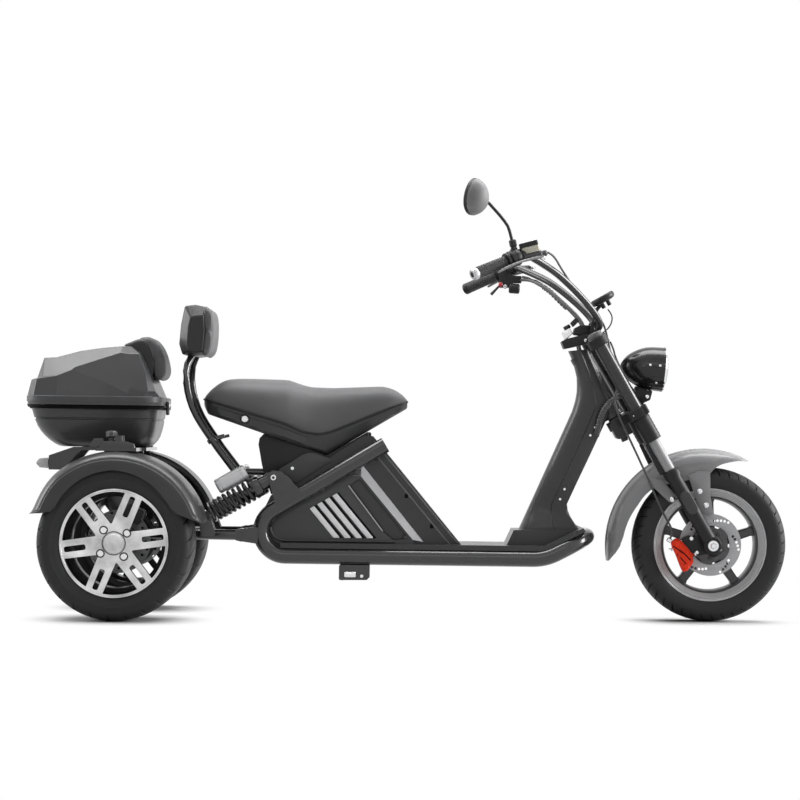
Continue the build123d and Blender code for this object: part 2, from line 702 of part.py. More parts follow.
column -= FORK * Pos(-FORK_OFFSET, 0, head_low - 10) * extrude(Circle(STEM_R + PIN_CLEARANCE), 400)
save("column", column)

# Fork: yokes, stem, sleeves, stanchions and lower legs, all along the raked leg line
leg_yoke = Rectangle(56, 2 * LEG_Y + 60)
lower_plate = Sketch() + leg_yoke + Pos(-FORK_OFFSET, 0) * Circle(34)
lower_plate += Pos(-FORK_OFFSET / 2, 0) * Rectangle(FORK_OFFSET, 68)
lower_yoke = FORK * Pos(0, 0, LOWER_YOKE_Z) * extrude(lower_plate, YOKE_T)
stem_low = LOWER_YOKE_Z + YOKE_T
lower_yoke += FORK * Pos(-FORK_OFFSET, 0, stem_low) * extrude(Circle(STEM_R), UPPER_YOKE_Z - stem_low)
race_h = head_low - stem_low - PIN_CLEARANCE
lower_yoke += FORK * Pos(-FORK_OFFSET, 0, stem_low) * extrude(Circle(STEM_R + 8), race_h)
TONGUE = 100
upper_plate = Sketch() + leg_yoke + Pos(-TONGUE / 2, 0) * Rectangle(TONGUE, 64)
upper_yoke = FORK * Pos(0, 0, UPPER_YOKE_Z) * extrude(upper_plate, YOKE_T)
for side in (-1, 1):
    upper_yoke += FORK * Pos(0, side * LEG_Y, UPPER_YOKE_Z + YOKE_T) * extrude(Circle(SLEEVE_R - 3), 8)
upper_yoke += FORK * Pos(-TONGUE + 16, 0, UPPER_YOKE_Z + YOKE_T) * extrude(Circle(13), 12)
bar_z = UPPER_YOKE_Z + YOKE_T + BAR_CLAMP_RISE
clamp_low = UPPER_YOKE_Z + YOKE_T
for side in (-1, 1):
    riser = FORK * Pos(BAR_CLAMP_AT, side * 40, (clamp_low + bar_z + BAR_R + 6) / 2)
    upper_yoke += riser * Box(38, 24, bar_z + BAR_R + 6 - clamp_low)

bar_low = on_fork(BAR_CLAMP_AT, 0, bar_z)
half_bar = [
    (FRONT_X + GRIP_END[0], -GRIP_END[1], GRIP_END[2]),
    (FRONT_X + BAR_CREST[0], -BAR_CREST[1], BAR_CREST[2]),
    (FRONT_X + BAR_KNEE[0], -BAR_KNEE[1], BAR_KNEE[2]),
    (bar_low[0], -BAR_KNEE[1] + 6, bar_low[2]),
]
bar_points = half_bar + [(x, -y, z) for x, y, z in reversed(half_bar)]
handlebar = tube(bar_points, BAR_R, [45, 55, 30, 30, 55, 45])
save("handlebar", handlebar)
save("upper_yoke", upper_yoke - handlebar)

sleeves = []
stanchions = []
shrouds = []
legs = []
axle = across(FRONT_X, FRONT_Z, AXLE_PIN_R, -LEG_Y - 24, LEG_Y + 24)
collar_in = HUB_STUB_HALF + PIN_CLEARANCE
for side in (-1, 1):
    axle += across(FRONT_X, FRONT_Z, AXLE_PIN_R + 5, *sorted((side * collar_in, side * LEG_LUG_Y)))
    nut_in = 2 * LEG_Y - LEG_LUG_Y
    axle += across(FRONT_X, FRONT_Z, AXLE_PIN_R + 6, *sorted((side * nut_in, side * (nut_in + 10))))
stay_in = FRONT_FENDER_HALF
stay_out = LEG_LUG_Y - 1
front_lug = [(-64, 305), (14, 322), (16, 350), (-74, 368)]
rear_lug = [(-131, 360), (-110, 394), (-70, 376), (-76, 344)]
for side in (-1, 1):
    y = side * LEG_Y
    seal = LEG_TOP + 5
    stanchions.append(FORK * Pos(0, y, seal) * extrude(Circle(STANCHION_R), STANCHION_TOP - seal))
    shrouds.append(FORK * Pos(0, y, STANCHION_TOP) * extrude(Circle(SHROUD_R), LOWER_YOKE_Z - STANCHION_TOP))
    sleeves.append(FORK * Pos(0, y, stem_low) * extrude(Circle(SLEEVE_R), UPPER_YOKE_Z - stem_low))
    leg = FORK * Pos(0, y, -30) * extrude(Circle(LEG_R), LEG_TOP + 30)
    leg += FORK * Pos(0, y, LEG_TOP - 10) * extrude(Circle(LEG_R + 2.5), 15)
    leg += across(FRONT_X, FRONT_Z, LEG_R + 4, *sorted((side * LEG_LUG_Y, side * nut_in)))
    lug_ends = sorted((side * stay_out, side * LEG_Y))
    leg += slab(from_front(front_lug), *lug_ends, radius=6)
    leg += slab(from_front(rear_lug), *lug_ends, radius=6)
    if side < 0:
        arm = spun([(0, -22), (0, 22), (112, 30), (112, -30)], FRONT_X, FRONT_Z, CALIPER_DEG)
        leg += slab(arm, -LEG_LUG_Y - 10, -LEG_LUG_Y - 2, radius=8)
    legs.append(leg - axle)
save("front_axle", axle)
save("fork_sleeves", *sleeves, *shrouds)
save("fork_stanchions", *stanchions)
save("fork_legs", *legs)

# Front caliper over the disc, bolted to the arm of the right leg
caliper_out = -LEG_LUG_Y - 2
caliper_points = spun([(64, -38), (64, 38), (118, 34), (118, -34)], FRONT_X, FRONT_Z, CALIPER_DEG)
caliper = slab(caliper_points, caliper_out, disc_in + 14, radius=10)
disc_gap = (disc_out - SLIDE_CLEARANCE, disc_in + SLIDE_CLEARANCE)
caliper -= across(FRONT_X, FRONT_Z, FRONT_DISC_R + SLIDE_CLEARANCE, *disc_gap)
save("front_caliper", caliper)

# Front fender: a crowned channel round the wheel with two stays a side
FENDER_X = FRONT_X - 19
FENDER_Z = FRONT_Z - 4.5
FENDER_FROM = 63
FENDER_ARC = 127
half_section = [
    (FRONT_FENDER_R, 0),
    (FRONT_FENDER_R - 5, FRONT_FENDER_HALF * 0.6),
    (FRONT_FENDER_R - 14, FRONT_FENDER_HALF * 0.88),
    (FRONT_FENDER_R - 28, FRONT_FENDER_HALF),
    (FRONT_FENDER_R - FENDER_SKIRT, FRONT_FENDER_HALF),
]
inner_section = [
    (FRONT_FENDER_R - FENDER_SKIRT, FRONT_FENDER_HALF - FENDER_T),
    (FRONT_FENDER_R - 29, FRONT_FENDER_HALF - FENDER_T),
    (FRONT_FENDER_R - 17, FRONT_FENDER_HALF * 0.88 - FENDER_T),
    (FRONT_FENDER_R - 5 - FENDER_T, FRONT_FENDER_HALF * 0.6 - 2),
    (FRONT_FENDER_R - FENDER_T, 0),
]
section_ring = half_section + inner_section
section_ring += [(r, -y) for r, y in reversed(inner_section[:-1])]
section_ring += [(r, -y) for r, y in reversed(half_section[1:])]
front_fender = turned(section_ring, FENDER_X, FENDER_Z, FENDER_FROM, FENDER_ARC)
STAY_REACH = FRONT_FENDER_R - FENDER_SKIRT / 2
front_stay = spun([(STAY_REACH, 17), (STAY_REACH, -61)], FENDER_X - FRONT_X, FENDER_Z, 90)
front_stay += [(16, 350), (14, 322), (-8, 322)]
rear_stay = spun([(STAY_REACH, 22), (STAY_REACH, -22)], FENDER_X - FRONT_X, FENDER_Z, 131)
rear_stay += [(-110, 394), (-131, 360)]
for side in (-1, 1):
    ends = sorted((side * stay_in, side * stay_out))
    front_fender += slab(from_front(front_stay), *ends, radius=5)
    front_fender += slab(from_front(rear_stay), *ends, radius=5)
save("front_fender", front_fender)

# Headlight: a bullet shell and its lens on a bracket from the lower yoke
LAMP_BACK = (-278, 782)
LAMP_FRONT = (-134, 771)
LAMP_R = 68
lamp_line = Vector(LAMP_FRONT[0] - LAMP_BACK[0], 0, LAMP_FRONT[1] - LAMP_BACK[1])
lamp_length = lamp_line.length
lamp_plane = Plane((FRONT_X + LAMP_BACK[0], 0, LAMP_BACK[1]), x_dir=(0, 1, 0), z_dir=lamp_line)
lamp_half = [(0, 0), (0.42, 0.03), (0.68, 0.14), (0.88, 0.36), (1.0, 0.66), (1.0, 0.93)]
shell_points = [(r * LAMP_R, h * lamp_length) for r, h in lamp_half] + [(0, 0.93 * lamp_length)]
shell_face = make_face(Polyline(*[(r, 0, h) for r, h in shell_points], close=True))
headlight = lamp_plane * revolve(shell_face, Axis.Z, 360)
lens_points = [(0, 0.93), (0.97, 0.93), (0.95, 0.97), (0.6, 1.0), (0, 1.01)]
lens_face = make_face(Polyline(*[(r * LAMP_R, 0, h * lamp_length) for r, h in lens_points], close=True))
lens = lamp_plane * revolve(lens_face, Axis.Z, 360)
yoke_front = on_fork(28, 0, LOWER_YOKE_Z + YOKE_T)
bracket = slab(
    [
        (yoke_front[0] - 34, yoke_front[2] - 4),
        (yoke_front[0] + 4, yoke_front[2] - 14),
        (yoke_front[0] + 24, LAMP_BACK[1] - LAMP_R + 20),
        (yoke_front[0] - 14, LAMP_BACK[1] - LAMP_R + 20),
    ],
    -14,
    14,
)
save("lower_yoke", lower_yoke + (bracket - headlight))
save("headlight_shell", headlight)
save("headlight_lens", lens)

# Horn box behind the fork, hung from the lower yoke
horn = FORK * Pos(-FORK_OFFSET + 10, 0, LOWER_YOKE_Z - 30) * Box(56, 64, 60)
save("horn_box", horn)

# Grips and controls on the bar ends
grip_line = (Vector(*half_bar[1]) - Vector(*half_bar[0])).normalized()
grip_end = Vector(*half_bar[0])


def on_grip(distance, offset=(0, 0, 0)):
    return tuple(grip_end + grip_line * distance + Vector(*offset))


grip = rod(on_grip(-4), on_grip(GRIP_L), GRIP_R) - handlebar
save("grips", *both(grip))
HOUSING_L = 34
housing = rod(on_grip(GRIP_L), on_grip(GRIP_L + HOUSING_L), GRIP_R + 6)
perch_at = GRIP_L + HOUSING_L
perch = rod(on_grip(perch_at), on_grip(perch_at + 22), GRIP_R + 1)
pivot_end = on_grip(perch_at + 34, (34, -20, -12))
perch += rod(on_grip(perch_at + 11), pivot_end, 10)
boss_low = on_grip(perch_at + 11)
boss_high = on_grip(perch_at + 11, (0, 0, 40))
perch += rod(boss_low, boss_high, 9)
perch += housing
perch -= handlebar
boss_bore = rod(on_grip(perch_at + 11, (0, 0, 24)), boss_high, 5)
perch -= boss_bore
lever_start = Vector(*pivot_end)
lever_mid = lever_start + Vector(-70, -34, -20)
lever_tip = lever_start + Vector(-150, -60, -62)
lever = largest(tube([tuple(lever_start), tuple(lever_mid), tuple(lever_tip)], 6, [90]) - perch)
save("control_perches", *both(perch))
save("brake_levers", *both(lever))

# Fluid reservoir on an arm of the right perch
TANK_H = 34
tank_foot = Plane(on_grip(perch_at + 46, (10, 6, 16)), x_dir=(1, 0.4, 0.3), z_dir=(-0.3, 0, 0.95))
tank = tank_foot * Pos(0, 0, TANK_H / 2) * Box(44, 30, TANK_H)
tank += rod(on_grip(perch_at + 14), tuple(tank_foot.from_local_coords((0, 0, TANK_H / 2))), 8)
save("fluid_tank", largest(tank - handlebar - perch))

# Mirror on the right perch: stem, shell and glass
MIRROR_R = 56
MIRROR_MID = (-736, -342, 1266)  # from the front axle, side, height
STEM_ELBOW = (-645, -316, 1182)
mirror_mid = Vector(FRONT_X + MIRROR_MID[0], MIRROR_MID[1], MIRROR_MID[2])
stem_elbow = Vector(FRONT_X + STEM_ELBOW[0], STEM_ELBOW[1], STEM_ELBOW[2])
face_out = Vector(-0.96, 0.24, 0.1).normalized()
mirror_plane = Plane(tuple(mirror_mid), x_dir=(0.24, 0.96, 0), z_dir=tuple(face_out))
dome = [(0, -34), (0.5, -30), (0.85, -18), (1.0, -2), (1.0, 8), (0, 8)]
dome_face = make_face(Polyline(*[(r * MIRROR_R, 0, h) for r, h in dome], close=True))
mirror_shell = mirror_plane * revolve(dome_face, Axis.Z, 360)
boss_floor = Vector(*on_grip(perch_at + 11, (0, 0, 24)))
stem_end = mirror_mid - face_out * 24
stem_rise = Vector(*boss_high) + Vector(0, 0, 20)
stem = tube([tuple(boss_floor), tuple(stem_rise), tuple(stem_elbow), tuple(stem_end)], 5, [15, 40])
save("mirror", mirror_shell + stem)
save("mirror_glass", mirror_plane * Pos(0, 0, 8) * extrude(Circle(MIRROR_R - 3), 2))

# Display on a stalk over the handlebar clamp
display = FORK * Pos(52, 0, 830) * extrude(Circle(38), 20)
stalk = rod(on_fork(BAR_CLAMP_AT, 0, bar_z), on_fork(44, 0, 830), 6) - handlebar
save("display", display + stalk)

# Rear fenders over the wheels, with an outer side wall
fender_in = 172
crown = REAR_FENDER_R
fender_section = [
    (crown, fender_in),
    (crown, REAR_FENDER_Y - 34),
    (crown - 10, REAR_FENDER_Y - 12),
    (crown - 28, REAR_FENDER_Y),
    (crown - 55, REAR_FENDER_Y),
    (crown - 55, REAR_FENDER_Y - FENDER_T),
    (crown - 29, REAR_FENDER_Y - FENDER_T),
    (crown - 13, REAR_FENDER_Y - 15),
    (crown - FENDER_T, REAR_FENDER_Y - 35),
    (crown - FENDER_T, fender_in),
]
rear_fender = turned(fender_section, REAR_X, REAR_Z, 13, 146)
save("rear_fenders", *both(rear_fender))

# Rack over the axle: uprights, cross plate to the fender tops, feet and knobs
rack_z = REAR_Z + REAR_FENDER_R
rack = block(REAR_X - 60, REAR_X + 60, -REAR_FENDER_Y + 60, REAR_FENDER_Y - 60, rack_z, rack_z + RACK_T)
rack += block(REAR_X - 130, REAR_X + 70, -130, 130, rack_z, rack_z + RACK_T)
for side in (-1, 1):
    ends = sorted((side * 108, side * 118))
    rack += slab(from_rear([(-34, REAR_Z), (34, REAR_Z), (60, rack_z + 2), (-60, rack_z + 2)]), *ends)
rack -= across(REAR_X, REAR_Z, AXLE_TUBE_R, -AXLE_TUBE_END, AXLE_TUBE_END)
rack -= swing_arm
for side in (-1, 1):
    foot = Pos(REAR_X + 4, side * 300, rack_z + RACK_T)
    knob = foot * extrude(Circle(16), 8)
    knob += foot * Pos(0, 0, 8) * extrude(Circle(11), 12)
    knob += foot * Pos(0, 0, 20) * extrude(Circle(17), 16)
    rack += knob
save("rack", rack)

# Rear box: a tapered tub with a hinged lid, backed by its own pad
box_back = REAR_X - BOX_REAR_REACH + 2 * HINGE_R
box_mid = box_back + BOX_LENGTH / 2


def tub_form(inset, floor, top):
    low = Plane((box_mid + 16, 0, floor)) * RectangleRounded(290 - 2 * inset, 350 - 2 * inset, 50)
    high = Plane((box_mid, 0, top)) * RectangleRounded(BOX_LENGTH - 2 * inset, 2 * BOX_HALF - 2 * inset, 60)
    return loft([low, high])


box_floor = rack_z + RACK_T
tub = tub_form(0, box_floor, BOX_SEAM_Z) - tub_form(BOX_WALL, box_floor + BOX_WALL, BOX_SEAM_Z)
hinge_axis_x = box_back - HINGE_R
hinge_axis_z = BOX_SEAM_Z + SEAM_GAP / 2
knuckles = [(80, 110), (-110, -80)]
for low, high in knuckles:
    tub += across(hinge_axis_x, hinge_axis_z, HINGE_R, low, high)
    tub += block(hinge_axis_x - HINGE_R + 1, box_back + 6, low, high, hinge_axis_z - 9, hinge_axis_z - 2)
    tub -= across(hinge_axis_x, hinge_axis_z, HINGE_PIN_R, low, high)
save("box_tub", tub)

# Lid outline as shares of the length and heights, then shares of the half width and heights
LID_SIDE = [(0, 0), (0, 26), (0.03, 75), (0.055, 81), (0.095, 143), (0.18, 143), (0.36, 163), (0.68, 181)]
LID_SIDE += [(0.77, 178), (0.9, 100), (0.955, 36), (1, 26), (1, 0)]
LID_FRONT = [(1, 0), (1, 28), (0.965, 34), (0.95, 78), (0.9, 112), (0.66, 160), (0.56, 184)]
lid_z = BOX_SEAM_Z + SEAM_GAP


def lid_form():
    side = [(box_back + share * BOX_LENGTH, lid_z + z) for share, z in LID_SIDE]
    half = [(share * BOX_HALF, lid_z + z) for share, z in LID_FRONT]
    body = slab(side, -BOX_HALF, BOX_HALF)
    ends = [(box_back - 10, y, z) for y, z in half + [(-y, z) for y, z in reversed(half)]]
    body = body & extrude(make_face(Polyline(*ends, close=True)), amount=BOX_LENGTH + 20, dir=(1, 0, 0))
    return body


lid_solid = lid_form()
lid_core = Pos(box_mid, 0, lid_z) * scale(Pos(-box_mid, 0, -lid_z) * lid_solid, by=(0.98, 0.98, 0.975))
lid = lid_solid - lid_core
for low, high in ((50, 79.7), (-79.7, -50)):
    lid += across(hinge_axis_x, hinge_axis_z, HINGE_R, low, high)
    lid += block(hinge_axis_x - HINGE_R + 1, box_back + 2, low, high, hinge_axis_z + 2, hinge_axis_z + 9)
    lid -= across(hinge_axis_x, hinge_axis_z, HINGE_PIN_R + PIN_CLEARANCE, low, high)
save("box_lid", lid)
pins += both(across(hinge_axis_x, hinge_axis_z, HINGE_PIN_R, 50, 110))
save("pivot_pins", *pins)
BOX_PAD_SIDE = [(-137, 184), (-95, 208), (-62, 210), (-16, 176), (8, 108), (-10, 80), (-44, 79)]
BOX_PAD_SIDE += [(-110, 150)]
BOX_PAD_HALF = 110
box_front = box_back + BOX_LENGTH
pad_side = [(box_front + x, lid_z + z) for x, z in BOX_PAD_SIDE]
box_pad = slab(pad_side, -BOX_PAD_HALF, BOX_PAD_HALF) - lid_solid
save("box_pad", box_pad)
latch = block(box_front, box_front + 9, -26, 26, BOX_SEAM_Z - 24, lid_z + 14)
save("box_latch", latch)

# Rear lamps on arms behind the rack
LAMP_ARM_Y = 122
holders = []
lenses = []
for side in (-1, 1):
    ends = sorted((side * (LAMP_ARM_Y - 12), side * (LAMP_ARM_Y + 12)))
    arm = [(-130, rack_z), (-130, rack_z + RACK_T), (-150, rack_z + RACK_T)]
    arm += [(-225, 485), (-225, 442), (-180, 442)]
    holders.append(slab(from_rear(arm), *ends))
    lens_ends = sorted((side * (LAMP_ARM_Y - 20), side * (LAMP_ARM_Y + 20)))
    lens_side = [(-225, 446), (-225, 478), (-252, 476), (-264, 462), (-252, 448)]
    lenses.append(slab(from_rear(lens_side), *lens_ends))
save("lamp_holders", *holders)
save("lamp_lenses", *lenses)

# Backrest: two bent posts from the seat box to a padded back
PAD_BOTTOM_Z = 789
post_foot = REAR_X + BOX_BACK
POST_Z = 470
posts = None
for side in (-1, 1):
    y = side * POST_Y
    line = [(post_foot, y, POST_Z), (REAR_X + 322, y, POST_Z)]
    line += [(REAR_X + 196, y, 650), (REAR_X + 184, y, PAD_BOTTOM_Z + 60)]
    post = tube(line, POST_R, [50, 80])
    post += block(post_foot - 8, post_foot, y - 22, y + 22, POST_Z - 18, POST_Z + 30)
    posts = post if posts is None else posts + post
posts += across(REAR_X + 197, 655, POST_R - 4, -POST_Y, POST_Y)
save("backrest_posts", posts)
BACK_SIDE = [(170, 800), (190, PAD_BOTTOM_Z), (258, PAD_BOTTOM_Z + 4), (276, 840)]
BACK_SIDE += [(278, 905), (262, 944), (196, 948), (174, 925)]
backrest = slab(from_rear(BACK_SIDE), -BACKREST_HALF, BACKREST_HALF, radius=8)
save("backrest_pad", backrest - posts)
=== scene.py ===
import math

import bmesh
import bpy
from mathutils import Matrix, Vector


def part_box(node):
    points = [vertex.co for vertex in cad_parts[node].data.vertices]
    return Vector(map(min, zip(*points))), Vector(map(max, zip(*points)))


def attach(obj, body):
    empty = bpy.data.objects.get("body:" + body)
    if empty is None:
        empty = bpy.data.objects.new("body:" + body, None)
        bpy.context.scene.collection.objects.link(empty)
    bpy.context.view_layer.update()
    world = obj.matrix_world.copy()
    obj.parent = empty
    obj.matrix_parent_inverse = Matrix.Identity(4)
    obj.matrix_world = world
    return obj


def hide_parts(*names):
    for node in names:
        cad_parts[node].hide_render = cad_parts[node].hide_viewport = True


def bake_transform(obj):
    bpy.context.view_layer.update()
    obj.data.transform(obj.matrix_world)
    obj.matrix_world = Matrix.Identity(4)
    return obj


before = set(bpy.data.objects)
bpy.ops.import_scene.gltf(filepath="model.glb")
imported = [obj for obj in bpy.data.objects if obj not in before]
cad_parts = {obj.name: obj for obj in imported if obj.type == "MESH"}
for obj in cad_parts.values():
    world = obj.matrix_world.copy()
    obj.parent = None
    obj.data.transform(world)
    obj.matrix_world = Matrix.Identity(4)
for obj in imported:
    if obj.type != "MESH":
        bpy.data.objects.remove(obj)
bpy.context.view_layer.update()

# Studio: a white paper floor under a long overhead softbox, grey round each wheel, where a painted shadow lies over the
# real contact shadow.
# A large softbox stands ahead of the trike, a smaller one behind it and a faint one at the near side.
# The camera is eight metres off the right side at deck height, square to the frame and rolled by under a degree.
scene = bpy.context.scene
scene.view_settings.view_transform = "Standard"
PICTURE_SIDE = 800
FOCAL_LENGTH = 2597
CAMERA_ROLL = math.radians(0.75)
camera_right = Vector((math.cos(CAMERA_ROLL), 0, math.sin(CAMERA_ROLL)))
camera_up = Vector((-math.sin(CAMERA_ROLL), 0, math.cos(CAMERA_ROLL)))
camera_turn = Matrix((camera_right, camera_up, camera_right.cross(camera_up))).transposed().to_4x4()
camera_data = bpy.data.cameras.new("studio_camera")
camera_data.sensor_width = 36
camera_data.lens = 36 * FOCAL_LENGTH / PICTURE_SIDE
camera_data.shift_x = 10 / PICTURE_SIDE
camera_data.shift_y = 35 / PICTURE_SIDE
camera = bpy.data.objects.new("studio_camera", camera_data)
camera.matrix_world = Matrix.Translation((-0.060, -8.0, 0.560)) @ camera_turn
scene.collection.objects.link(camera)
scene.camera = camera


def softbox(name, place, aim, width, height, power):
    lamp = bpy.data.lights.new(name, "AREA")
    lamp.shape = "RECTANGLE"
    lamp.size = width
    lamp.size_y = height
    lamp.energy = power
    holder = bpy.data.objects.new(name, lamp)
    holder.location = place
    holder.rotation_euler = (Vector(aim) - Vector(place)).to_track_quat("-Z", "Y").to_euler()
    scene.collection.objects.link(holder)


softbox("top_softbox", (0.0, 0.4, 3.4), (0.0, 0.1, 0.4), 5.2, 1.4, 170)
softbox("front_softbox", (9.0, 0.4, 3.2), (0.2, 0.0, 0.6), 4.8, 4.8, 1250)
softbox("rear_softbox", (-4.5, 0.4, 1.9), (-0.4, 0.0, 0.6), 2.2, 2.2, 120)
softbox("side_softbox", (-0.6, -5.5, 3.6), (0.0, 0.0, 0.5), 4.5, 1.0, 16)


def node(tree, kind, values=None, links=None, **settings):
    made = tree.nodes.new("ShaderNode" + kind)
    for name, setting in settings.items():
        setattr(made, name, setting)
    for socket, value in (values or {}).items():
        made.inputs[socket].default_value = value
    for socket, output in (links or {}).items():
        tree.links.new(output, made.inputs[socket])
    return made


def white_for_the_lens(tree, lit, bright):
    rays = node(tree, "LightPath")
    seen = rays.outputs["Is Camera Ray"]
    for way in ("Is Glossy Ray", "Is Transmission Ray"):
        seen = node(tree, "Math", links={0: seen, 1: rays.outputs[way]}, operation="MAXIMUM").outputs[0]
    return node(tree, "MixShader", links={0: seen, 1: lit, 2: bright}).outputs[0]


WHITE = (1, 1, 1, 1)
world = bpy.data.worlds.new("white_studio")
world.use_nodes = True
scene.world = world
sky = world.node_tree
sky_light = sky.nodes["Background"]
sky_light.inputs["Color"].default_value = WHITE
sky_place = node(sky, "TexCoord")
sky_height = node(sky, "SeparateXYZ", links={0: sky_place.outputs["Generated"]})
sky_range = {"From Min": 0.1, "From Max": 0.9, "To Min": 0.07, "To Max": 0.5}
sky_level = node(sky, "MapRange", sky_range, {"Value": sky_height.outputs["Z"]})
sky.links.new(sky_level.outputs["Result"], sky_light.inputs["Strength"])
sky_white = node(sky, "Background", {"Color": WHITE, "Strength": 1.0})
sky_seen = white_for_the_lens(sky, sky_light.outputs[0], sky_white.outputs[0])
sky.links.new(sky_seen, sky.nodes["World Output"].inputs["Surface"])

FLOOR_REACH = 30
floor_corners = [(x * FLOOR_REACH, y * FLOOR_REACH, 0) for x, y in ((-1, -1), (1, -1), (1, 1), (-1, 1))]
floor_mesh = bpy.data.meshes.new("studio_floor")
floor_mesh.from_pydata(floor_corners, [], [(0, 1, 2, 3)])
studio_floor = bpy.data.objects.new("studio_floor", floor_mesh)
scene.collection.objects.link(studio_floor)
floor_paper = bpy.data.materials.new("floor_paper")
floor_paper.use_nodes = True
paper = floor_paper.node_tree
paper_lit = paper.nodes["Principled BSDF"]
paper_lit.inputs["Base Color"].default_value = (0.55, 0.55, 0.55, 1)
paper_lit.inputs["Roughness"].default_value = 0.9
paper_lit.inputs["Specular IOR Level"].default_value = 0.0
paper_white = node(paper, "Emission", {"Color": WHITE})
paper_place = node(paper, "TexCoord")
nearest = None
for wheel_x, wheel_y in ((-0.868, -0.27), (-0.868, 0.27), (0.924, 0.0)):
    patch = {"Location": (wheel_x, wheel_y, 0), "Scale": (0.29, 0.3, 1)}
    contact = node(paper, "Mapping", patch, {"Vector": paper_place.outputs["Object"]}, vector_type="TEXTURE")
    away = node(paper, "VectorMath", links={0: contact.outputs["Vector"]}, operation="LENGTH").outputs["Value"]
    nearest = node(paper, "Math", links={0: nearest, 1: away}, operation="MINIMUM").outputs[0] if nearest else away
# Round each wheel contact the camera sees the grey lit paper instead of white: a painted shadow ellipse over the real
# contact shadow, fading to white further out.
painted_shadow_fade = node(
    paper, "MapRange", {"From Min": 0.35, "From Max": 1.05}, {"Value": nearest}, interpolation_type="SMOOTHSTEP"
)
shadowed = node(
    paper, "MixShader", links={0: painted_shadow_fade.outputs["Result"], 1: paper_lit.outputs[0], 2: paper_white.outputs[0]}
)
paper_seen = white_for_the_lens(paper, paper_lit.outputs[0], shadowed.outputs[0])
paper.links.new(paper_seen, paper.nodes["Material Output"].inputs["Surface"])
floor_mesh.materials.append(floor_paper)


# Rear wheels: wide low tyres on six-spoke cast alloy rims, machined bright on the face and black in the windows.
# Each is bolted by four nuts to a hub with a drilled brake disc on the half shaft.
def finish(name, colour, roughness, metallic=0.0, tone=0.15, grain=0.0, grain_mm=1.0, coat=0.0, streak=None):
    material = bpy.data.materials.new(name)
    material.use_nodes = True
    tree = material.node_tree
    shader = tree.nodes["Principled BSDF"]
    shader.inputs["Metallic"].default_value = metallic
    shader.inputs["Specular IOR Level"].default_value = 0.5 if metallic else 0.26
    shader.inputs["Coat Weight"].default_value = coat
    shader.inputs["Coat Roughness"].default_value = 0.12
    place = node(tree, "TexCoord").outputs["Object"]
    cloud = node(tree, "TexNoise", {"Scale": 16, "Detail": 8}, {"Vector": place}).outputs["Fac"]
    dark = [c * (1 - tone) for c in colour] + [1]
    pale = [min(1, c * (1 + tone)) for c in colour] + [1]
    shade = node(tree, "Mix", data_type="RGBA")
    shade.inputs[6].default_value = dark
    shade.inputs[7].default_value = pale
    tree.links.new(cloud, shade.inputs[0])
    tree.links.new(shade.outputs[2], shader.inputs["Base Color"])
    spread = {"From Min": 0.3, "From Max": 0.7, "To Min": roughness * 0.85, "To Max": min(1, roughness * 1.15)}
    wear = node(tree, "MapRange", spread, {"Value": cloud})
    tree.links.new(wear.outputs["Result"], shader.inputs["Roughness"])
    if grain:
        if streak:
            place = node(tree, "Mapping", {"Scale": streak}, {"Vector": place}).outputs["Vector"]
        fine = node(tree, "TexNoise", {"Scale": 1000 / grain_mm, "Detail": 3}, {"Vector": place})
        relief = {"Strength": grain, "Distance": grain_mm / 1000}
        bump = node(tree, "Bump", relief, {"Height": fine.outputs["Fac"]})
        tree.links.new(bump.outputs["Normal"], shader.inputs["Normal"])
    return material


def build(name, shape, body, slot, *finishes, stands_for=(), crease=32, edge=0.0, rounds=0, pick=None):
    points, faces = shape
    mesh = bpy.data.meshes.new(name)
    mesh.from_pydata([Vector(point) / 1000 for point in points], [], faces)
    work = bmesh.new()
    work.from_mesh(mesh)
    bmesh.ops.remove_doubles(work, verts=work.verts, dist=1e-5)
    bmesh.ops.dissolve_degenerate(work, dist=1e-6, edges=work.edges)
    bmesh.ops.recalc_face_normals(work, faces=work.faces)
    for face in work.faces:
        face.smooth = True
    work.to_mesh(mesh)
    work.free()
    for coat in finishes:
        mesh.materials.append(coat)
    if pick:
        for face in mesh.polygons:
            face.material_index = pick(face.center * 1000, face.normal)
    mesh.set_sharp_from_angle(angle=math.radians(crease))
    piece = bpy.data.objects.new(name, mesh)
    scene.collection.objects.link(piece)
    if edge:
        softened = piece.modifiers.new("softened_edges", "BEVEL")
        softened.width = edge / 1000
        softened.segments = 2
        softened.limit_method = "ANGLE"
        softened.angle_limit = math.radians(28)
        softened.harden_normals = True
    if rounds:
        smoothed = piece.modifiers.new("smoothed", "SUBSURF")
        smoothed.levels = rounds
        smoothed.render_levels = rounds
    if body:
        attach(piece, body)
    if stands_for:
        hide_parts(*stands_for)
    return piece


def joined(*shapes):
    points = []
    faces = []
    for more_points, more_faces in shapes:
        start = len(points)
        points += [Vector(point) for point in more_points]
        faces += [tuple(start + index for index in face) for face in more_faces]
    return points, faces


def moved(shape, matrix):
    return [matrix @ Vector(point) for point in shape[0]], shape[1]


def mirrored(shape):
    return [Vector((x, -y, z)) for x, y, z in shape[0]], shape[1]


def skin(rings, looped=False, capped=True):
    count = len(rings[0])
    points = [Vector(point) for ring in rings for point in ring]
    faces = []
    for row in range(len(rings) if looped else len(rings) - 1):
        low = row * count
        high = (row + 1) % len(rings) * count
        for k in range(count):
            after = (k + 1) % count
            faces.append((low + k, low + after, high + after, high + k))
    if capped and not looped:
        faces.append(tuple(range(count)))
        faces.append(tuple(range(len(points) - count, len(points))))
    return points, faces


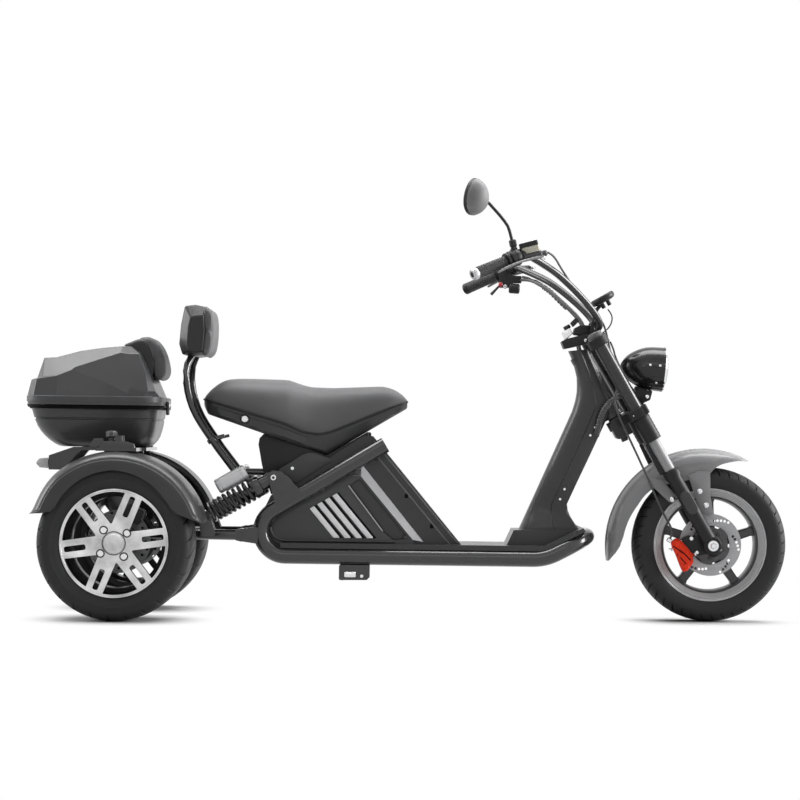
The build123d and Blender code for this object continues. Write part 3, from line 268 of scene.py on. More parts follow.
def lathe(profile, middle, axis, steps=64, looped=False):
    axis = Vector(axis).normalized()
    first = Vector((0, 0, 1)) if abs(axis.z) < 0.9 else Vector((1, 0, 0))
    first = (first - axis * first.dot(axis)).normalized()
    second = axis.cross(first)
    rings = []
    for radius, along in profile:
        centre = Vector(middle) + axis * along
        turns = [2 * math.pi * k / steps for k in range(steps)]
        rings.append([centre + (first * math.cos(t) + second * math.sin(t)) * radius for t in turns])
    return skin(rings, looped, capped=not looped)


def rounded(outline, radius, steps=5):
    corners = []
    for k, point in enumerate(outline):
        here = Vector(point)
        before = Vector(outline[k - 1]) - here
        after = Vector(outline[(k + 1) % len(outline)]) - here
        half = before.angle(after) / 2
        reach = min(radius / math.tan(half), before.length * 0.48, after.length * 0.48)
        start = here + before.normalized() * reach
        end = here + after.normalized() * reach
        for step in range(steps + 1):
            t = step / steps
            corners.append(start * (1 - t) ** 2 + here * 2 * t * (1 - t) + end * t * t)
    return corners


def stamped(outlines, thick, edge=0.0):
    sheet = bpy.data.curves.new("stamping", "CURVE")
    sheet.dimensions = "2D"
    sheet.fill_mode = "BOTH"
    sheet.extrude = thick / 2 - edge
    sheet.bevel_depth = edge
    sheet.bevel_resolution = 1
    sheet.offset = -edge
    for outline in outlines:
        spline = sheet.splines.new("POLY")
        spline.points.add(len(outline) - 1)
        for point, place in zip(spline.points, outline):
            point.co = (place[0], place[1], 0, 1)
        spline.use_cyclic_u = True
    holder = bpy.data.objects.new("stamping", sheet)
    mesh = bpy.data.meshes.new_from_object(holder)
    shape = [point.co.copy() for point in mesh.vertices], [tuple(face.vertices) for face in mesh.polygons]
    bpy.data.objects.remove(holder)
    bpy.data.curves.remove(sheet)
    bpy.data.meshes.remove(mesh)
    return shape


def upright(x, y, z):
    return Matrix(((1, 0, 0, x), (0, 0, -1, y), (0, 1, 0, z), (0, 0, 0, 1)))


def polar(radius, degrees, offset=0.0):
    c = math.cos(math.radians(degrees))
    s = math.sin(math.radians(degrees))
    return radius * c - offset * s, radius * s + offset * c


def circle(radius, steps=72, middle=(0, 0)):
    ring = [polar(radius, 360 * k / steps) for k in range(steps)]
    return [(middle[0] + x, middle[1] + y) for x, y in ring]


def middle_of(solid):
    low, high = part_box(solid)
    return Vector([(a + b) * 500 for a, b in zip(low, high)])


def treaded(middle, half_section, pitches, sweep):
    places = (0.0, 0.08, 0.11, 0.4, 0.7, 0.97)
    section = half_section + [(radius, -across, cut) for radius, across, cut in reversed(half_section)]
    widest = max(across for radius, across, cut in half_section)
    rings = []
    for pitch in range(pitches):
        for index, place in enumerate(places):
            ring = []
            for radius, across, cut in section:
                turn = 360 * (pitch + place - sweep * abs(across) / widest) / pitches
                x, z = polar(radius - (cut if index < 2 else 0), turn)
                ring.append(middle + Vector((x, across, z)))
            rings.append(ring)
    return skin(rings, looped=True)


rubber = finish("tyre_rubber", (0.021, 0.021, 0.022), 0.57, tone=0.25, grain=0.35, grain_mm=0.9)
# The machined alloy's strong blotchy tone (0.8) is painted reflection, standing in for studio reflections on the bright
# faces.
bright_alloy = finish(
    "machined_alloy_painted_reflection", (0.6, 0.6, 0.61), 0.24, metallic=1.0, tone=0.8, grain=0.08, grain_mm=0.6, streak=(1, 1, 6)
)
black_alloy = finish("painted_alloy", (0.014, 0.014, 0.015), 0.35, tone=0.2, coat=0.3)
disc_steel = finish("ground_disc_steel", (0.36, 0.36, 0.37), 0.48, metallic=0.4, tone=0.08, grain=0.08, grain_mm=0.5)
nut_steel = finish("nut_steel", (0.72, 0.72, 0.73), 0.22, metallic=1.0, tone=0.1)
dark_steel = finish("dark_steel", (0.06, 0.06, 0.062), 0.42, metallic=0.7, tone=0.2)
REAR_TREAD = [
    (152, 92, 0), (160, 95, 0), (163, 98, 0), (169, 104, 0), (178, 109, 0), (188, 112.4, 0), (190, 114, 0),
    (192, 113.4, 0), (203, 115, 0), (212, 113.5, 1.5), (219, 109.5, 4), (225, 102, 5), (228.5, 91, 5), (230.2, 72, 5),
    (230.8, 50, 5), (231, 30, 3), (231, 20, 0), (231, 8, 0),
]
SPOKE_HALF = 27
window = [polar(56, 30), polar(149, 0, SPOKE_HALF)]
window += [polar(151.5, 12 + 4 * k) for k in range(10)]
window += [polar(149, 60, -SPOKE_HALF)]
slot = [polar(84, 0, -8), polar(147, 0, -8), polar(147, 0, 8), polar(84, 0, 8)]


def turned_by(outline, degrees):
    c = math.cos(math.radians(degrees))
    s = math.sin(math.radians(degrees))
    return [(p[0] * c - p[1] * s, p[0] * s + p[1] * c) for p in outline]


def hex_nut(place, axis, radius, height):
    crown = [
        (radius * 0.55, -1), (radius, -1), (radius, height * 0.7), (radius * 0.8, height),
        (radius * 0.3, height * 1.02),
    ]
    return lathe(crown, place, axis, steps=6)


for side, name in ((-1, "right"), (1, "left")):
    body = f"rear_wheel_{name}"
    hub = middle_of(f"rear_tyre_{name}")
    outward = (0, side, 0)
    build(
        f"rear_tread_{name}", treaded(hub, REAR_TREAD, 26, 0.85), body, "tyre", rubber,
        stands_for=(f"rear_tyre_{name}",)
    )
    barrel = [
        (152, -94), (152, -70), (142, -46), (142, 46), (152, 70), (152, 94), (161, 94), (162, 97), (160.5, 100.4),
        (157, 100.4), (153.5, 98), (150.5, 92), (147, 86), (145, 70), (137, 46), (136, -46), (145, -70), (146, -98),
        (161, -100), (161, -94),
    ]
    lip = lambda centre, normal: 0 if (centre.y - hub.y) * side > 95 else 1
    build(
        f"rim_barrel_{name}", lathe(barrel, hub, outward, 96, looped=True), body, "bright_alloy", bright_alloy,
        black_alloy, stands_for=(f"rear_rim_{name}",), pick=lip
    )
    spokes = [circle(156)]
    for k in range(6):
        spokes.append(turned_by(rounded(window, 4), 8 + 60 * k))
        spokes.append(turned_by(rounded(slot, 6), 8 + 60 * k))
    face = moved(stamped(spokes, 22, 1.4), upright(hub.x, hub.y + side * 88, hub.z))
    machined = lambda centre, normal: 0 if normal.y * side > 0.5 else 1
    build(f"rim_spokes_{name}", face, body, "bright_alloy", bright_alloy, black_alloy, pick=machined)
    holes = [circle(95)] + [circle(4.5, 12, polar(80 + 7 * (k % 2), 15 * k)) for k in range(24)]
    disc_face = moved(stamped(holes + [circle(58)], 5, 0.4), upright(hub.x, side * 217.5, hub.z))
    build(f"rear_disc_{name}", disc_face, body, "bright_steel", disc_steel)
    spindle = [
        (0, -178), (15, -178), (15, -98), (36, -98), (36, -60), (60, -57), (60, -52), (38, -46), (38, 55), (62, 60),
        (62, 72), (21.5, 72), (21.5, 96), (0, 96),
    ]
    build(
        f"hub_spindle_{name}", lathe(spindle, hub, outward, 48), body, "bright_steel", dark_steel,
        stands_for=(f"rear_hub_{name}",)
    )
    nuts = []
    wells = []
    for k in range(4):
        x, z = polar(49, 38 + 90 * k)
        seat = hub + Vector((x, side * 98, z))
        nuts.append(lathe([(10, -2), (10, 3), (8.5, 5), (4.5, 5.8), (0, 6)], seat, outward, 20))
        wells.append(lathe([(9, 0), (13, 0), (13, 2), (11.5, 2.8), (9, 2.8)], seat, outward, 28, looped=True))
    build(f"lug_nuts_{name}", joined(*nuts), body, "bright_steel", nut_steel)
    build(f"lug_wells_{name}", joined(*wells), body, "dark_alloy", black_alloy)
    cap = [(0, 103.6), (12, 103.4), (24, 102.4), (30, 100.8), (32.5, 98.6), (33, 96), (0, 96)]
    build(f"wheel_cap_{name}", lathe(cap, hub, outward, 48), body, "bright_alloy", bright_alloy)
    cap_edge = [(33, 97), (35.5, 97), (35.5, 100.4), (34, 101), (33, 100.4)]
    build(f"cap_ring_{name}", lathe(cap_edge, hub, outward, 48, looped=True), body, "dark_alloy", black_alloy)


# Frame and swing arm: welded steel tube in black powder coat, with stamped lugs for the shocks and the arm pivots.
# The motor and gear case are cast alloy, painted black, and ride between the arm's ends with the brake calipers.
def dress(coat, *solids):
    for solid in solids:
        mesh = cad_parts[solid].data
        mesh.materials.clear()
        mesh.materials.append(coat)
        for face in mesh.polygons:
            face.material_index = 0


powder_black = finish("powder_coated_black", (0.021, 0.021, 0.022), 0.25, tone=0.2, grain=0.04, grain_mm=1.2, coat=0.8)
cast_black = finish("cast_black", (0.02, 0.02, 0.021), 0.5, tone=0.25, grain=0.3, grain_mm=1.5)
dress(powder_black, "frame", "swing_arm")
dress(cast_black, "drive_unit")
dress(dark_steel, "pivot_pins", "rear_calipers")


def screw(place, axis, radius, height=4):
    head = [
        (radius * 0.42, height * 0.35), (radius * 0.46, height), (radius * 0.8, height * 0.9), (radius, height * 0.4),
        (radius, -3), (0, -3),
    ]
    return lathe(head, place, axis, steps=24)


REAR_AXLE = Vector((-867.75, 0, 231))
fins = []
for y in range(-60, 61, 15):
    fins.append(lathe([(80, y - 3), (87, y - 2), (87, y + 2), (80, y + 3)], REAR_AXLE, (0, 1, 0), 64))
build("motor_fins", joined(*fins), "frame", "graphite", cast_black)
frame_screws = []
for side in (-1, 1):
    for x, z in ((-410, 427), (-620, 306)):
        frame_screws.append(screw((x, side * 165, z), (0, side, 0), 10, 7))
build("frame_bolts", joined(*frame_screws), "frame", "bright_steel", nut_steel)

# Rear shocks: a wound steel spring over a black damper, set between rubber-bushed eyes, one beside each swing arm tube.
# A turned alloy reservoir is screwed to the damper's upper end by a short neck.
SHOCK_TOP = Vector((-409.75, 0, 427))
SHOCK_FOOT = Vector((-619.75, 0, 306))
SPRING_TURNS = 8.5
SPRING_RADIUS = 28.5
WIRE_RADIUS = 5.4
shock_line = (SHOCK_TOP - SHOCK_FOOT).normalized()
shock_length = (SHOCK_TOP - SHOCK_FOOT).length
spring_black = finish("spring_black", (0.02, 0.02, 0.021), 0.3, tone=0.2, coat=0.4)
turned_alloy = finish("turned_alloy", (0.5, 0.5, 0.51), 0.45, metallic=0.6, tone=0.08, grain=0.1, grain_mm=0.6)


def tube(path, radius, sides=12, flat=1.0):
    rings = []
    up = Vector((0, 0, 1))
    for k, point in enumerate(path):
        point = Vector(point)
        before = Vector(path[max(k - 1, 0)])
        after = Vector(path[min(k + 1, len(path) - 1)])
        along = (after - before).normalized()
        across = along.cross(up)
        if across.length < 0.05:
            across = along.cross(Vector((1, 0, 0)))
        across.normalize()
        over = across.cross(along)
        size = radius[k] if isinstance(radius, (list, tuple)) else radius
        turns = [2 * math.pi * n / sides for n in range(sides)]
        rings.append([point + across * size * math.cos(t) + over * size * flat * math.sin(t) for t in turns])
    return skin(rings)


def once(side, *solids):
    return solids if side < 0 else ()


for side, name in ((-1, "right"), (1, "left")):
    foot = SHOCK_FOOT + Vector((0, side * 140, 0))
    wound = []
    across = Vector((0, 1, 0))
    over = shock_line.cross(across)
    for k in range(int(SPRING_TURNS * 20) + 1):
        t = k / 20
        along = 34 + 139 * (t / SPRING_TURNS) ** 1.12
        turn = 2 * math.pi * t
        wound.append(foot + shock_line * along + (across * math.cos(turn) + over * math.sin(turn)) * SPRING_RADIUS)
    rings = []
    for k, point in enumerate(wound):
        along = (wound[min(k + 1, len(wound) - 1)] - wound[max(k - 1, 0)]).normalized()
        radial = (point - foot - shock_line * (point - foot).dot(shock_line)).normalized()
        other = along.cross(radial)
        angles = [2 * math.pi * n / 10 for n in range(10)]
        rings.append([point + (radial * math.cos(a) + other * math.sin(a)) * WIRE_RADIUS for a in angles])
    build(f"shock_spring_{name}", skin(rings), "frame", "satin_black", spring_black)
    damper = [
        (0, 8), (9, 8), (9, 22), (31, 24), (32, 27), (31, 31), (19, 33), (19, 108), (12, 110), (12, 172), (31, 174),
        (32.5, 178), (32.5, 190), (30, 196), (22, 199), (20, 228), (12, 234), (0, 234),
    ]
    parts = [lathe(damper, foot, shock_line, 40)]
    for eye in (0, shock_length):
        ring = [(8, -17), (13.5, -17), (14.5, -15), (14.5, 15), (13.5, 17), (8, 17)]
        parts.append(lathe(ring, foot + shock_line * eye, (0, 1, 0), 32, looped=True))
    build(f"damper_{name}", joined(*parts), "frame", "satin_black", powder_black, stands_for=once(side, "shocks"))
    can_start = foot + shock_line * 78 + over * 58
    can = [
        (0, 0), (19, 0), (22, 3), (23, 6), (23, 14), (22, 14.6), (22, 16.4), (23, 17), (23, 84), (22, 84.6), (22, 86.4),
        (23, 87), (23, 95), (21, 99), (17, 100), (0, 100),
    ]
    build(f"reservoir_{name}", lathe(can, can_start, shock_line, 48), "frame", "silver_paint", turned_alloy)
    neck = tube([can_start + shock_line * 80, foot + shock_line * 186], 9)
    build(f"reservoir_neck_{name}", neck, "frame", "satin_black", powder_black)

# Rear fenders and rack: deep pressed steel guards over each rear tyre, with a hemmed lip, on a welded tube rack.
# Each is held at the crown by a clamp plate and a turned hand knob; the rear lamps sit in moulded holders behind.
fender_black = finish("fender_black", (0.031, 0.031, 0.032), 0.38, tone=0.18, grain=0.08, grain_mm=1.5, coat=0.2)
lamp_plastic = finish("clear_lamp_plastic", (0.66, 0.66, 0.66), 0.16, tone=0.05, grain=0.1, grain_mm=2)
dress(powder_black, "rack", "lamp_holders")
FENDER_START = 13.8
FENDER_SWEEP = 147.1
FENDER_EDGE = 400
FENDER_LIP = [
    (13.8, 265), (16, 250), (19, 234), (22, 220), (25.9, 206.5), (31.8, 199), (42, 199), (60, 207), (90, 215),
    (115, 211), (138, 204), (148.5, 200), (153.5, 206), (157.5, 226), (160.9, 259),
]


def plate(outline, corner, thick, edge, x=0, y=0, z=0):
    return moved(stamped([rounded(outline, corner)], thick, edge), upright(x, y, z))


def reading(table, x):
    for (x0, v0), (x1, v1) in zip(table, table[1:]):
        if x0 <= x <= x1:
            return v0 + (v1 - v0) * (x - x0) / (x1 - x0)
    return table[0][1] if x < table[0][0] else table[-1][1]


def eased(value):
    value = max(0.0, min(1.0, value))
    return value * value * (3 - 2 * value)


for side, name in ((-1, "right"), (1, "left")):
    rings = []
    steps = 98
    for k in range(steps + 1):
        turn = FENDER_START + FENDER_SWEEP * k / steps
        crown = 271 - 9 * eased((turn - 130) / 29)
        lip = min(reading(FENDER_LIP, turn), crown - 3)
        share = min(1.0, (crown - lip) / 44)
        outer = [
            (172, crown - 1), (180, crown), (250, crown + 0.5), (325, crown), (352, crown - 2.5 * share),
            (371, crown - 7.5 * share), (384, crown - 14.5 * share), (391, crown - 21 * share),
            (392, crown - 24 * share), (397.5, crown - 26.5 * share), (399.5, crown - 31 * share), (FENDER_EDGE, lip),
        ]
        inner = [
            (FENDER_EDGE - 5, lip), (394, crown - 33 * share), (388, crown - 30 * share), (380, crown - 22 * share),
            (366, crown - 13 * share), (350, crown - 7 * share), (325, crown - 3.5), (250, crown - 3),
            (180, crown - 3.5), (172, crown - 4),
        ]
        ring = []
        for across, radius in outer + inner:
            x, z = polar(radius, turn)
            ring.append((REAR_AXLE.x + x, side * across, REAR_AXLE.z + z))
        rings.append(ring)
    stands = once(side, "rear_fenders")
    build(f"fender_shell_{name}", skin(rings), "frame", "satin_black", fender_black, stands_for=stands, crease=40)
    clamp = [
        plate([(-922, 508), (-815, 508), (-818, 524), (-838, 531), (-912, 531)], 5, 40, 2, y=side * 300),
        plate([(-952, 516), (-936, 539), (-908, 539), (-904, 512), (-930, 508)], 4, 26, 2, y=side * 300),
    ]
    build(f"fender_clamp_{name}", joined(*clamp), "frame", "satin_black", powder_black)
    knob = [(0, 0), (12, 0), (12, 5), (9, 7), (9, 10), (15, 12), (18, 15), (18, 27), (15, 31), (8, 33), (0, 33)]
    build(
        f"clamp_knob_{name}", lathe(knob, (-885, side * 300, 530), (0, 0, 1), 10), "frame", "satin_black", dark_steel,
        crease=25
    )
    lens = stamped([rounded([(-20, 0), (-8, -14), (19, -16), (19, 16), (-8, 14)], 5)], 40, 3)
    build(f"rear_lamp_{name}", moved(lens, upright(-1112, side * 122, 462)), "frame", "clear_lens", lamp_plastic,
          stands_for=once(side, "lamp_lenses"))


# Rear box: an injection-moulded tub bolted on the rack and a faceted lid hinged along its rear seam.
# The lid has a lighter rim band over a groove painted near-black as shade, a latch at the front and a padded rest on
# its front edge.
box_shell = finish("box_moulding", (0.045, 0.045, 0.047), 0.38, tone=0.12, grain=0.08, grain_mm=1.4, coat=0.25)
trim_grey = finish("rim_band_grey", (0.075, 0.075, 0.078), 0.38, tone=0.1, grain=0.08, grain_mm=1.2)
# Near-black with little gloss: painted shade, used in the box seam and groove, behind the panel slats, on the case
# holes and in the caliper split lines.
painted_shade_black = finish("painted_shade_black", (0.003, 0.003, 0.003), 0.8, tone=0.2)
painted_shade_black.node_tree.nodes["Principled BSDF"].inputs["Specular IOR Level"].default_value = 0.1


def oblong(z, back, front, half, corner, steps=8):
    ring = []
    corners = ((front, half, 0), (back, half, 90), (back, -half, 180), (front, -half, 270))
    for x, y, turn in corners:
        middle_x = x - corner * (1 if x == front else -1)
        middle_y = y - corner * (1 if y > 0 else -1)
        for k in range(steps + 1):
            dx, dy = polar(corner, turn + 90 * k / steps)
            ring.append((middle_x + dx, middle_y + dy, z))
    return ring


TUB = [
    (513, -1052, -818, 142, 50), (515, -1064, -806, 152, 54), (521, -1077, -795, 163, 58), (532, -1092, -785, 175, 62),
    (545, -1106, -778, 183, 63), (558, -1117, -774, 189, 64), (574, -1127, -770, 195, 64), (594, -1135, -767, 200, 63),
    (596, -1132.5, -769, 197.5, 62), (598.5, -1132.5, -769, 197.5, 62), (600.5, -1137, -766, 202, 62),
    (620, -1142, -763, 206, 62), (625, -1144, -760, 208, 62), (627, -1149, -753, 213, 63),
    (636.5, -1150, -751, 214.5, 63),
]
TUB_INSIDE = [
    (636.5, -1145, -756, 209, 60), (620, -1138, -767, 202, 58), (574, -1123, -774, 191, 58),
    (532, -1088, -790, 171, 56), (519, -1066, -806, 154, 50),
]
tub_rings = [oblong(*ring) for ring in TUB + TUB_INSIDE]
# The top of the tub, in the seam under the lid, is painted shade black.
seam = lambda centre, normal: 1 if centre.z > 631 else 0
build(
    "tub_shell", skin(tub_rings), "frame", "graphite", box_shell, painted_shade_black, stands_for=("box_tub",), crease=38,
    pick=seam
)

BAND = [
    (639, -1155, -750.5, 215, 63), (647, -1156, -750, 215.5, 63), (648.5, -1158.5, -748.5, 216.5, 64),
    (664, -1158.5, -749, 216, 64), (666, -1155, -753, 212, 62),
]
BAND_INSIDE = [(666, -1142, -768, 198, 55), (639, -1147, -759, 206, 60)]
# The lower strip of the rim band is painted shade black for the groove.
band_painted_groove_shade = lambda centre, normal: 0 if centre.z > 641 else 1
build(
    "lid_rim_band", skin([oblong(*ring) for ring in BAND + BAND_INSIDE], looped=True), "lid", "graphite", trim_grey,
    painted_shade_black, crease=38, pick=band_painted_groove_shade
)

LID = {
    "r0": (-1158, 0, 664), "r1": (-1158, 150, 664), "r2": (-1134, 199, 664), "r3": (-1062, 212, 664),
    "r4": (-950, 212.5, 664), "r5": (-846, 212, 664), "r6": (-806, 204, 664), "r7": (-774, 176, 664),
    "r8": (-758, 125, 664), "r9": (-756, 0, 664), "m0": (-1148, 0, 714), "m1": (-1147, 140, 714),
    "m2": (-1126, 181, 716), "m3": (-1063, 193, 726), "m4": (-1021, 193, 742), "m5": (-927, 203, 712),
    "m6": (-848, 211, 674), "u0": (-1132, 0, 720), "u1": (-1131, 128, 720), "u2": (-1111, 168, 723),
    "t0": (-1115, 0, 784), "t1": (-1114, 104, 781), "t2": (-1076, 112, 783), "t3": (-1001, 118, 803),
    "t4": (-935, 120, 813), "t5": (-873, 119, 819), "c2": (-1076, 0, 786), "c3": (-1001, 0, 807), "c4": (-935, 0, 818),
    "c5": (-873, 0, 823), "a1": (-1010, 188, 752), "a2": (-877, 150, 799), "a3": (-850, 157, 795),
    "g": (-842, 205, 692), "f0": (-845, 0, 823), "f1": (-849, 112, 819), "f2": (-821, 149, 796), "f3": (-798, 182, 741),
    "f4": (-788, 202, 682), "h0": (-812, 0, 806), "h1": (-817, 104, 800), "h2": (-793, 142, 741),
    "h3": (-769, 165, 682), "k0": (-782, 0, 741), "l0": (-760, 0, 682),
}
LID_FACES = (
    "r0 r1 m1 m0", "r1 r2 m2 m1", "r2 r3 m3 m2", "m0 m1 u1 u0", "m1 m2 u2 u1", "m2 m3 u2", "u0 u1 t1 t0", "u1 u2 t1",
    "u2 m3 m4 a1 t2 t1", "r3 r4 m5 m4 m3", "r4 r5 m6 m5", "t2 t3 t4 t5 a2 a1", "a1 a2 a3 g m6 m5 m4", "t5 f1 f2 a3 a2",
    "a3 f2 f3 g", "g f3 f4", "g f4 r6 r5 m6", "f1 f2 h1", "f2 f3 h2 h1", "f3 f4 h3 h2", "f4 r6 r7 h3", "h3 r7 r8",
    "h3 r8 r9 l0", "h1 h2 k0 h0", "h2 h3 l0 k0", "f0 f1 h1 h0", "t0 t1 t2 c2", "c2 t2 t3 c3", "c3 t3 t4 c4",
    "c4 t4 t5 c5", "c5 t5 f1 f0",
)
names = list(LID)
left_half = [LID[name] for name in names], [tuple(names.index(name) for name in face.split()) for face in LID_FACES]
lid_shell = build(
    "lid_shell", joined(left_half, mirrored(left_half)), "lid", "graphite", box_shell, stands_for=("box_lid",),
    crease=180
)
lid_wall = lid_shell.modifiers.new("moulded_wall", "SOLIDIFY")
lid_wall.thickness = 0.0035
lid_wall.offset = -1
lid_edges = lid_shell.modifiers.new("rounded_edges", "BEVEL")
lid_edges.width = 0.006
lid_edges.segments = 3
lid_edges.limit_method = "ANGLE"
lid_edges.angle_limit = math.radians(9)
lid_edges.harden_normals = True

LID_HINGE = Vector((-1155.75, 0, 638))
hinge_parts = []
for low, high in ((50, 80), (-80, -50)):
    hinge_parts.append(lathe([(3, low), (7.5, low), (7.5, high), (3, high)], LID_HINGE, (0, 1, 0), 24, looped=True))
build("lid_hinge_knuckles", joined(*hinge_parts), "lid", "satin_black", powder_black)
knuckle_parts = []
for low, high in ((81, 110), (-110, -81)):
    knuckle_parts.append(lathe([(0, low), (7.5, low), (7.5, high), (0, high)], LID_HINGE, (0, 1, 0), 24))
build("tub_hinge_knuckles", joined(*knuckle_parts), "frame", "satin_black", powder_black)
latch_plate = [(-23, -26), (23, -26), (23, 16), (-23, 16)]
latch = Matrix(((0, 0, 1, -744.5), (1, 0, 0, 0), (0, 1, 0, 638), (0, 0, 0, 1)))
build(
    "latch_tongue", moved(stamped([rounded(latch_plate, 7)], 9, 2), latch), "lid", "black_plastic", powder_black,
    stands_for=("box_latch",)
)
latch_lock = lathe([(0, 0), (9, 0), (9, 3), (7, 4.5), (0, 4.5)], (-740, 0, 636), (1, 0, 0), 32)
build("latch_lock", latch_lock, "lid", "bright_steel", nut_steel)

# Pads: grey leather over moulded foam, on the box lid, on the backrest and on the seat.
# The upper two have black moulded backs, and the seat is drawn over its pan with a piped edge.
# The backrest stands on two bent steel posts, joined by a cross tube.
leather = finish("grey_leather", (0.11, 0.11, 0.113), 0.48, tone=0.1, grain=0.5, grain_mm=1.6)
back_shell = finish("pad_back_shell", (0.022, 0.022, 0.023), 0.42, tone=0.15, grain=0.12, grain_mm=1.5, coat=0.1)
pan_grey = finish("seat_pan_grey", (0.046, 0.046, 0.048), 0.36, tone=0.12, grain=0.08, grain_mm=1.4, coat=0.15)
piping_black = finish("piping_black", (0.012, 0.012, 0.012), 0.4, tone=0.2)


def curve_point(p0, p1, p2, p3, t):
    bend = (2 * p0 - 5 * p1 + 4 * p2 - p3) * t * t
    return 0.5 * (2 * p1 + (p2 - p0) * t + bend + (3 * p1 - p0 - 3 * p2 + p3) * t ** 3)


def smooth_loop(outline, per_side=6):
    count = len(outline)
    loop = []
    for k in range(count):
        p0, p1, p2, p3 = (Vector(outline[(k + n) % count]) for n in (-1, 0, 1, 2))
        for step in range(per_side):
            t = step / per_side
            loop.append(curve_point(p0, p1, p2, p3, t))
    return loop


def pillow(outline, half, edge, steps=7):
    loop = smooth_loop(outline)
    middle = sum(loop, Vector((0, 0))) / len(loop)
    rings = []
    stations = [-half + edge * (1 - math.cos(math.pi / 2 * k / steps)) for k in range(steps + 1)]
    stations += [-half + edge + (2 * half - 2 * edge) * k / 6 for k in range(1, 6)]
    stations += [-y for y in reversed(stations[: steps + 1])]
    for y in stations:
        inside = max(0.0, (abs(y) - (half - edge)) / edge)
        shrink = edge * (1 - math.sqrt(max(0.0, 1 - inside * inside)))
        ring = []
        for point in loop:
            arm = point - middle
            arm = arm * max(0.02, 1 - shrink / max(arm.length, shrink + 1))
            ring.append((middle.x + arm.x, y, middle.y + arm.y))
        rings.append(ring)
    return skin(rings)


REST_CUSHION = [
    (-826, 841), (-802, 849), (-783, 842), (-765, 821), (-753, 794), (-746, 766), (-744, 745), (-750, 728), (-762, 720),
    (-776, 722), (-781, 742), (-788, 772), (-802, 806),
]
REST_BACK = [
    (-872, 822), (-850, 834), (-826, 842), (-806, 838), (-788, 812), (-778, 772), (-782, 726), (-794, 734), (-807, 767),
    (-825, 797), (-846, 812),
]
build("box_rest_back", pillow(REST_BACK, 108, 14), "lid", "black_plastic", back_shell)
box_rest = build(
    "box_rest_cushion", pillow(REST_CUSHION, 104, 18), "lid", "grey_leather", leather, stands_for=("box_pad",)
)
BACK_CUSHION = [
    (-628, 939), (-613, 937), (-604, 925), (-600, 902), (-599, 876), (-601, 842), (-606, 814), (-615, 799), (-629, 795),
    (-630, 830), (-630, 890),
]
back_pad = build(
    "backrest_cushion", pillow(BACK_CUSHION, 142, 18), "frame", "grey_leather", leather, stands_for=("backrest_pad",)
)
BACK_FULL = [
    (-688, 944), (-655, 948), (-622, 941), (-620, 870), (-626, 797), (-655, 793), (-694, 796), (-704, 828), (-699, 888),
]
BACK_END = [
    (-668, 908), (-655, 911), (-628, 914), (-625, 870), (-629, 806), (-655, 803), (-674, 806), (-678, 830), (-674, 880),
]
shell_rings = []
for y, outline in ((-148, BACK_END), (-116, BACK_FULL), (116, BACK_FULL), (148, BACK_END)):
    shell_rings.append([(x, y, z) for x, z in outline])
build("backrest_shell", skin(shell_rings), "frame", "black_plastic", back_shell, edge=5)
POST = [
    (-660, 78, 815), (-664, 82, 800), (-671, 92, 784), (-678, 106, 768), (-681, 115, 745), (-680, 118, 711),
    (-676, 118, 686), (-670, 118, 663), (-661, 118, 637), (-649, 118, 612), (-634, 118, 587), (-617, 118, 562),
    (-583, 118, 514), (-545, 118, 465), (-524, 118, 438),
]
post_parts = [tube([(-524, y, 441) for y in (-126, -60, 0, 60, 126)], 10, 20)]
for side in (-1, 1):
    post_parts.append(tube([(x, side * y, z) for x, y, z in POST], 10.5, 20))
    post_parts.append(tube([(-524, side * 72, 441), (-438, side * 72, 441)], 10, 20))
    collar = [(10.5, -7), (14, -7), (15, -5), (15, 5), (14, 7), (10.5, 7)]
    post_parts.append(lathe(collar, (-600, side * 118, 538), (0.58, 0, -0.815), 24, looped=True))
    post_parts.append(tube([(-590, side * 118, 545), (-562, side * 118, 552)], 5, 12))
build(
    "backrest_hoop", joined(*post_parts), "frame", "satin_black", powder_black, stands_for=("backrest_posts",),
    crease=50
)


def flowing(table, x):
    total = 0
    for shift, share in ((-14, 0.1), (-7, 0.22), (0, 0.36), (7, 0.22), (14, 0.1)):
        total += share * reading(table, min(max(x + shift, table[0][0]), table[-1][0]))
    return total


SEAT_TOP = [
    (-627, 664), (-622, 675), (-610, 690), (-587, 711), (-559, 724), (-520, 727), (-470, 727), (-372, 725), (-339, 713),
    (-306, 704), (-236, 702), (-150, 706), (-81, 709), (-48, 700), (-24, 684), (-12, 672), (-8, 666),
]
SEAT_LINE = [(-627, 662), (-501, 624), (-420, 602), (-371, 587), (-325, 566), (-279, 558), (-242, 565), (-8, 663)]
SEAT_HALF = [
    (-627, 92), (-618, 118), (-600, 136), (-570, 147), (-520, 150), (-440, 149), (-372, 139), (-306, 118), (-236, 104),
    (-150, 97), (-80, 90), (-48, 82), (-24, 66), (-8, 44),
]
PAN_FOOT = [(-627, 640), (-614, 616), (-253, 496), (-10, 641), (-8, 645)]
seat_rings = []
pan_rings = []
piping = {-1: [], 1: []}
stations = [-627 + 1.5 * k * k * 0.22 for k in range(9)]
stations += [-253] + [-602 + 10 * k for k in range(57)]
stations += [-34, -26, -20, -15, -11, -8]
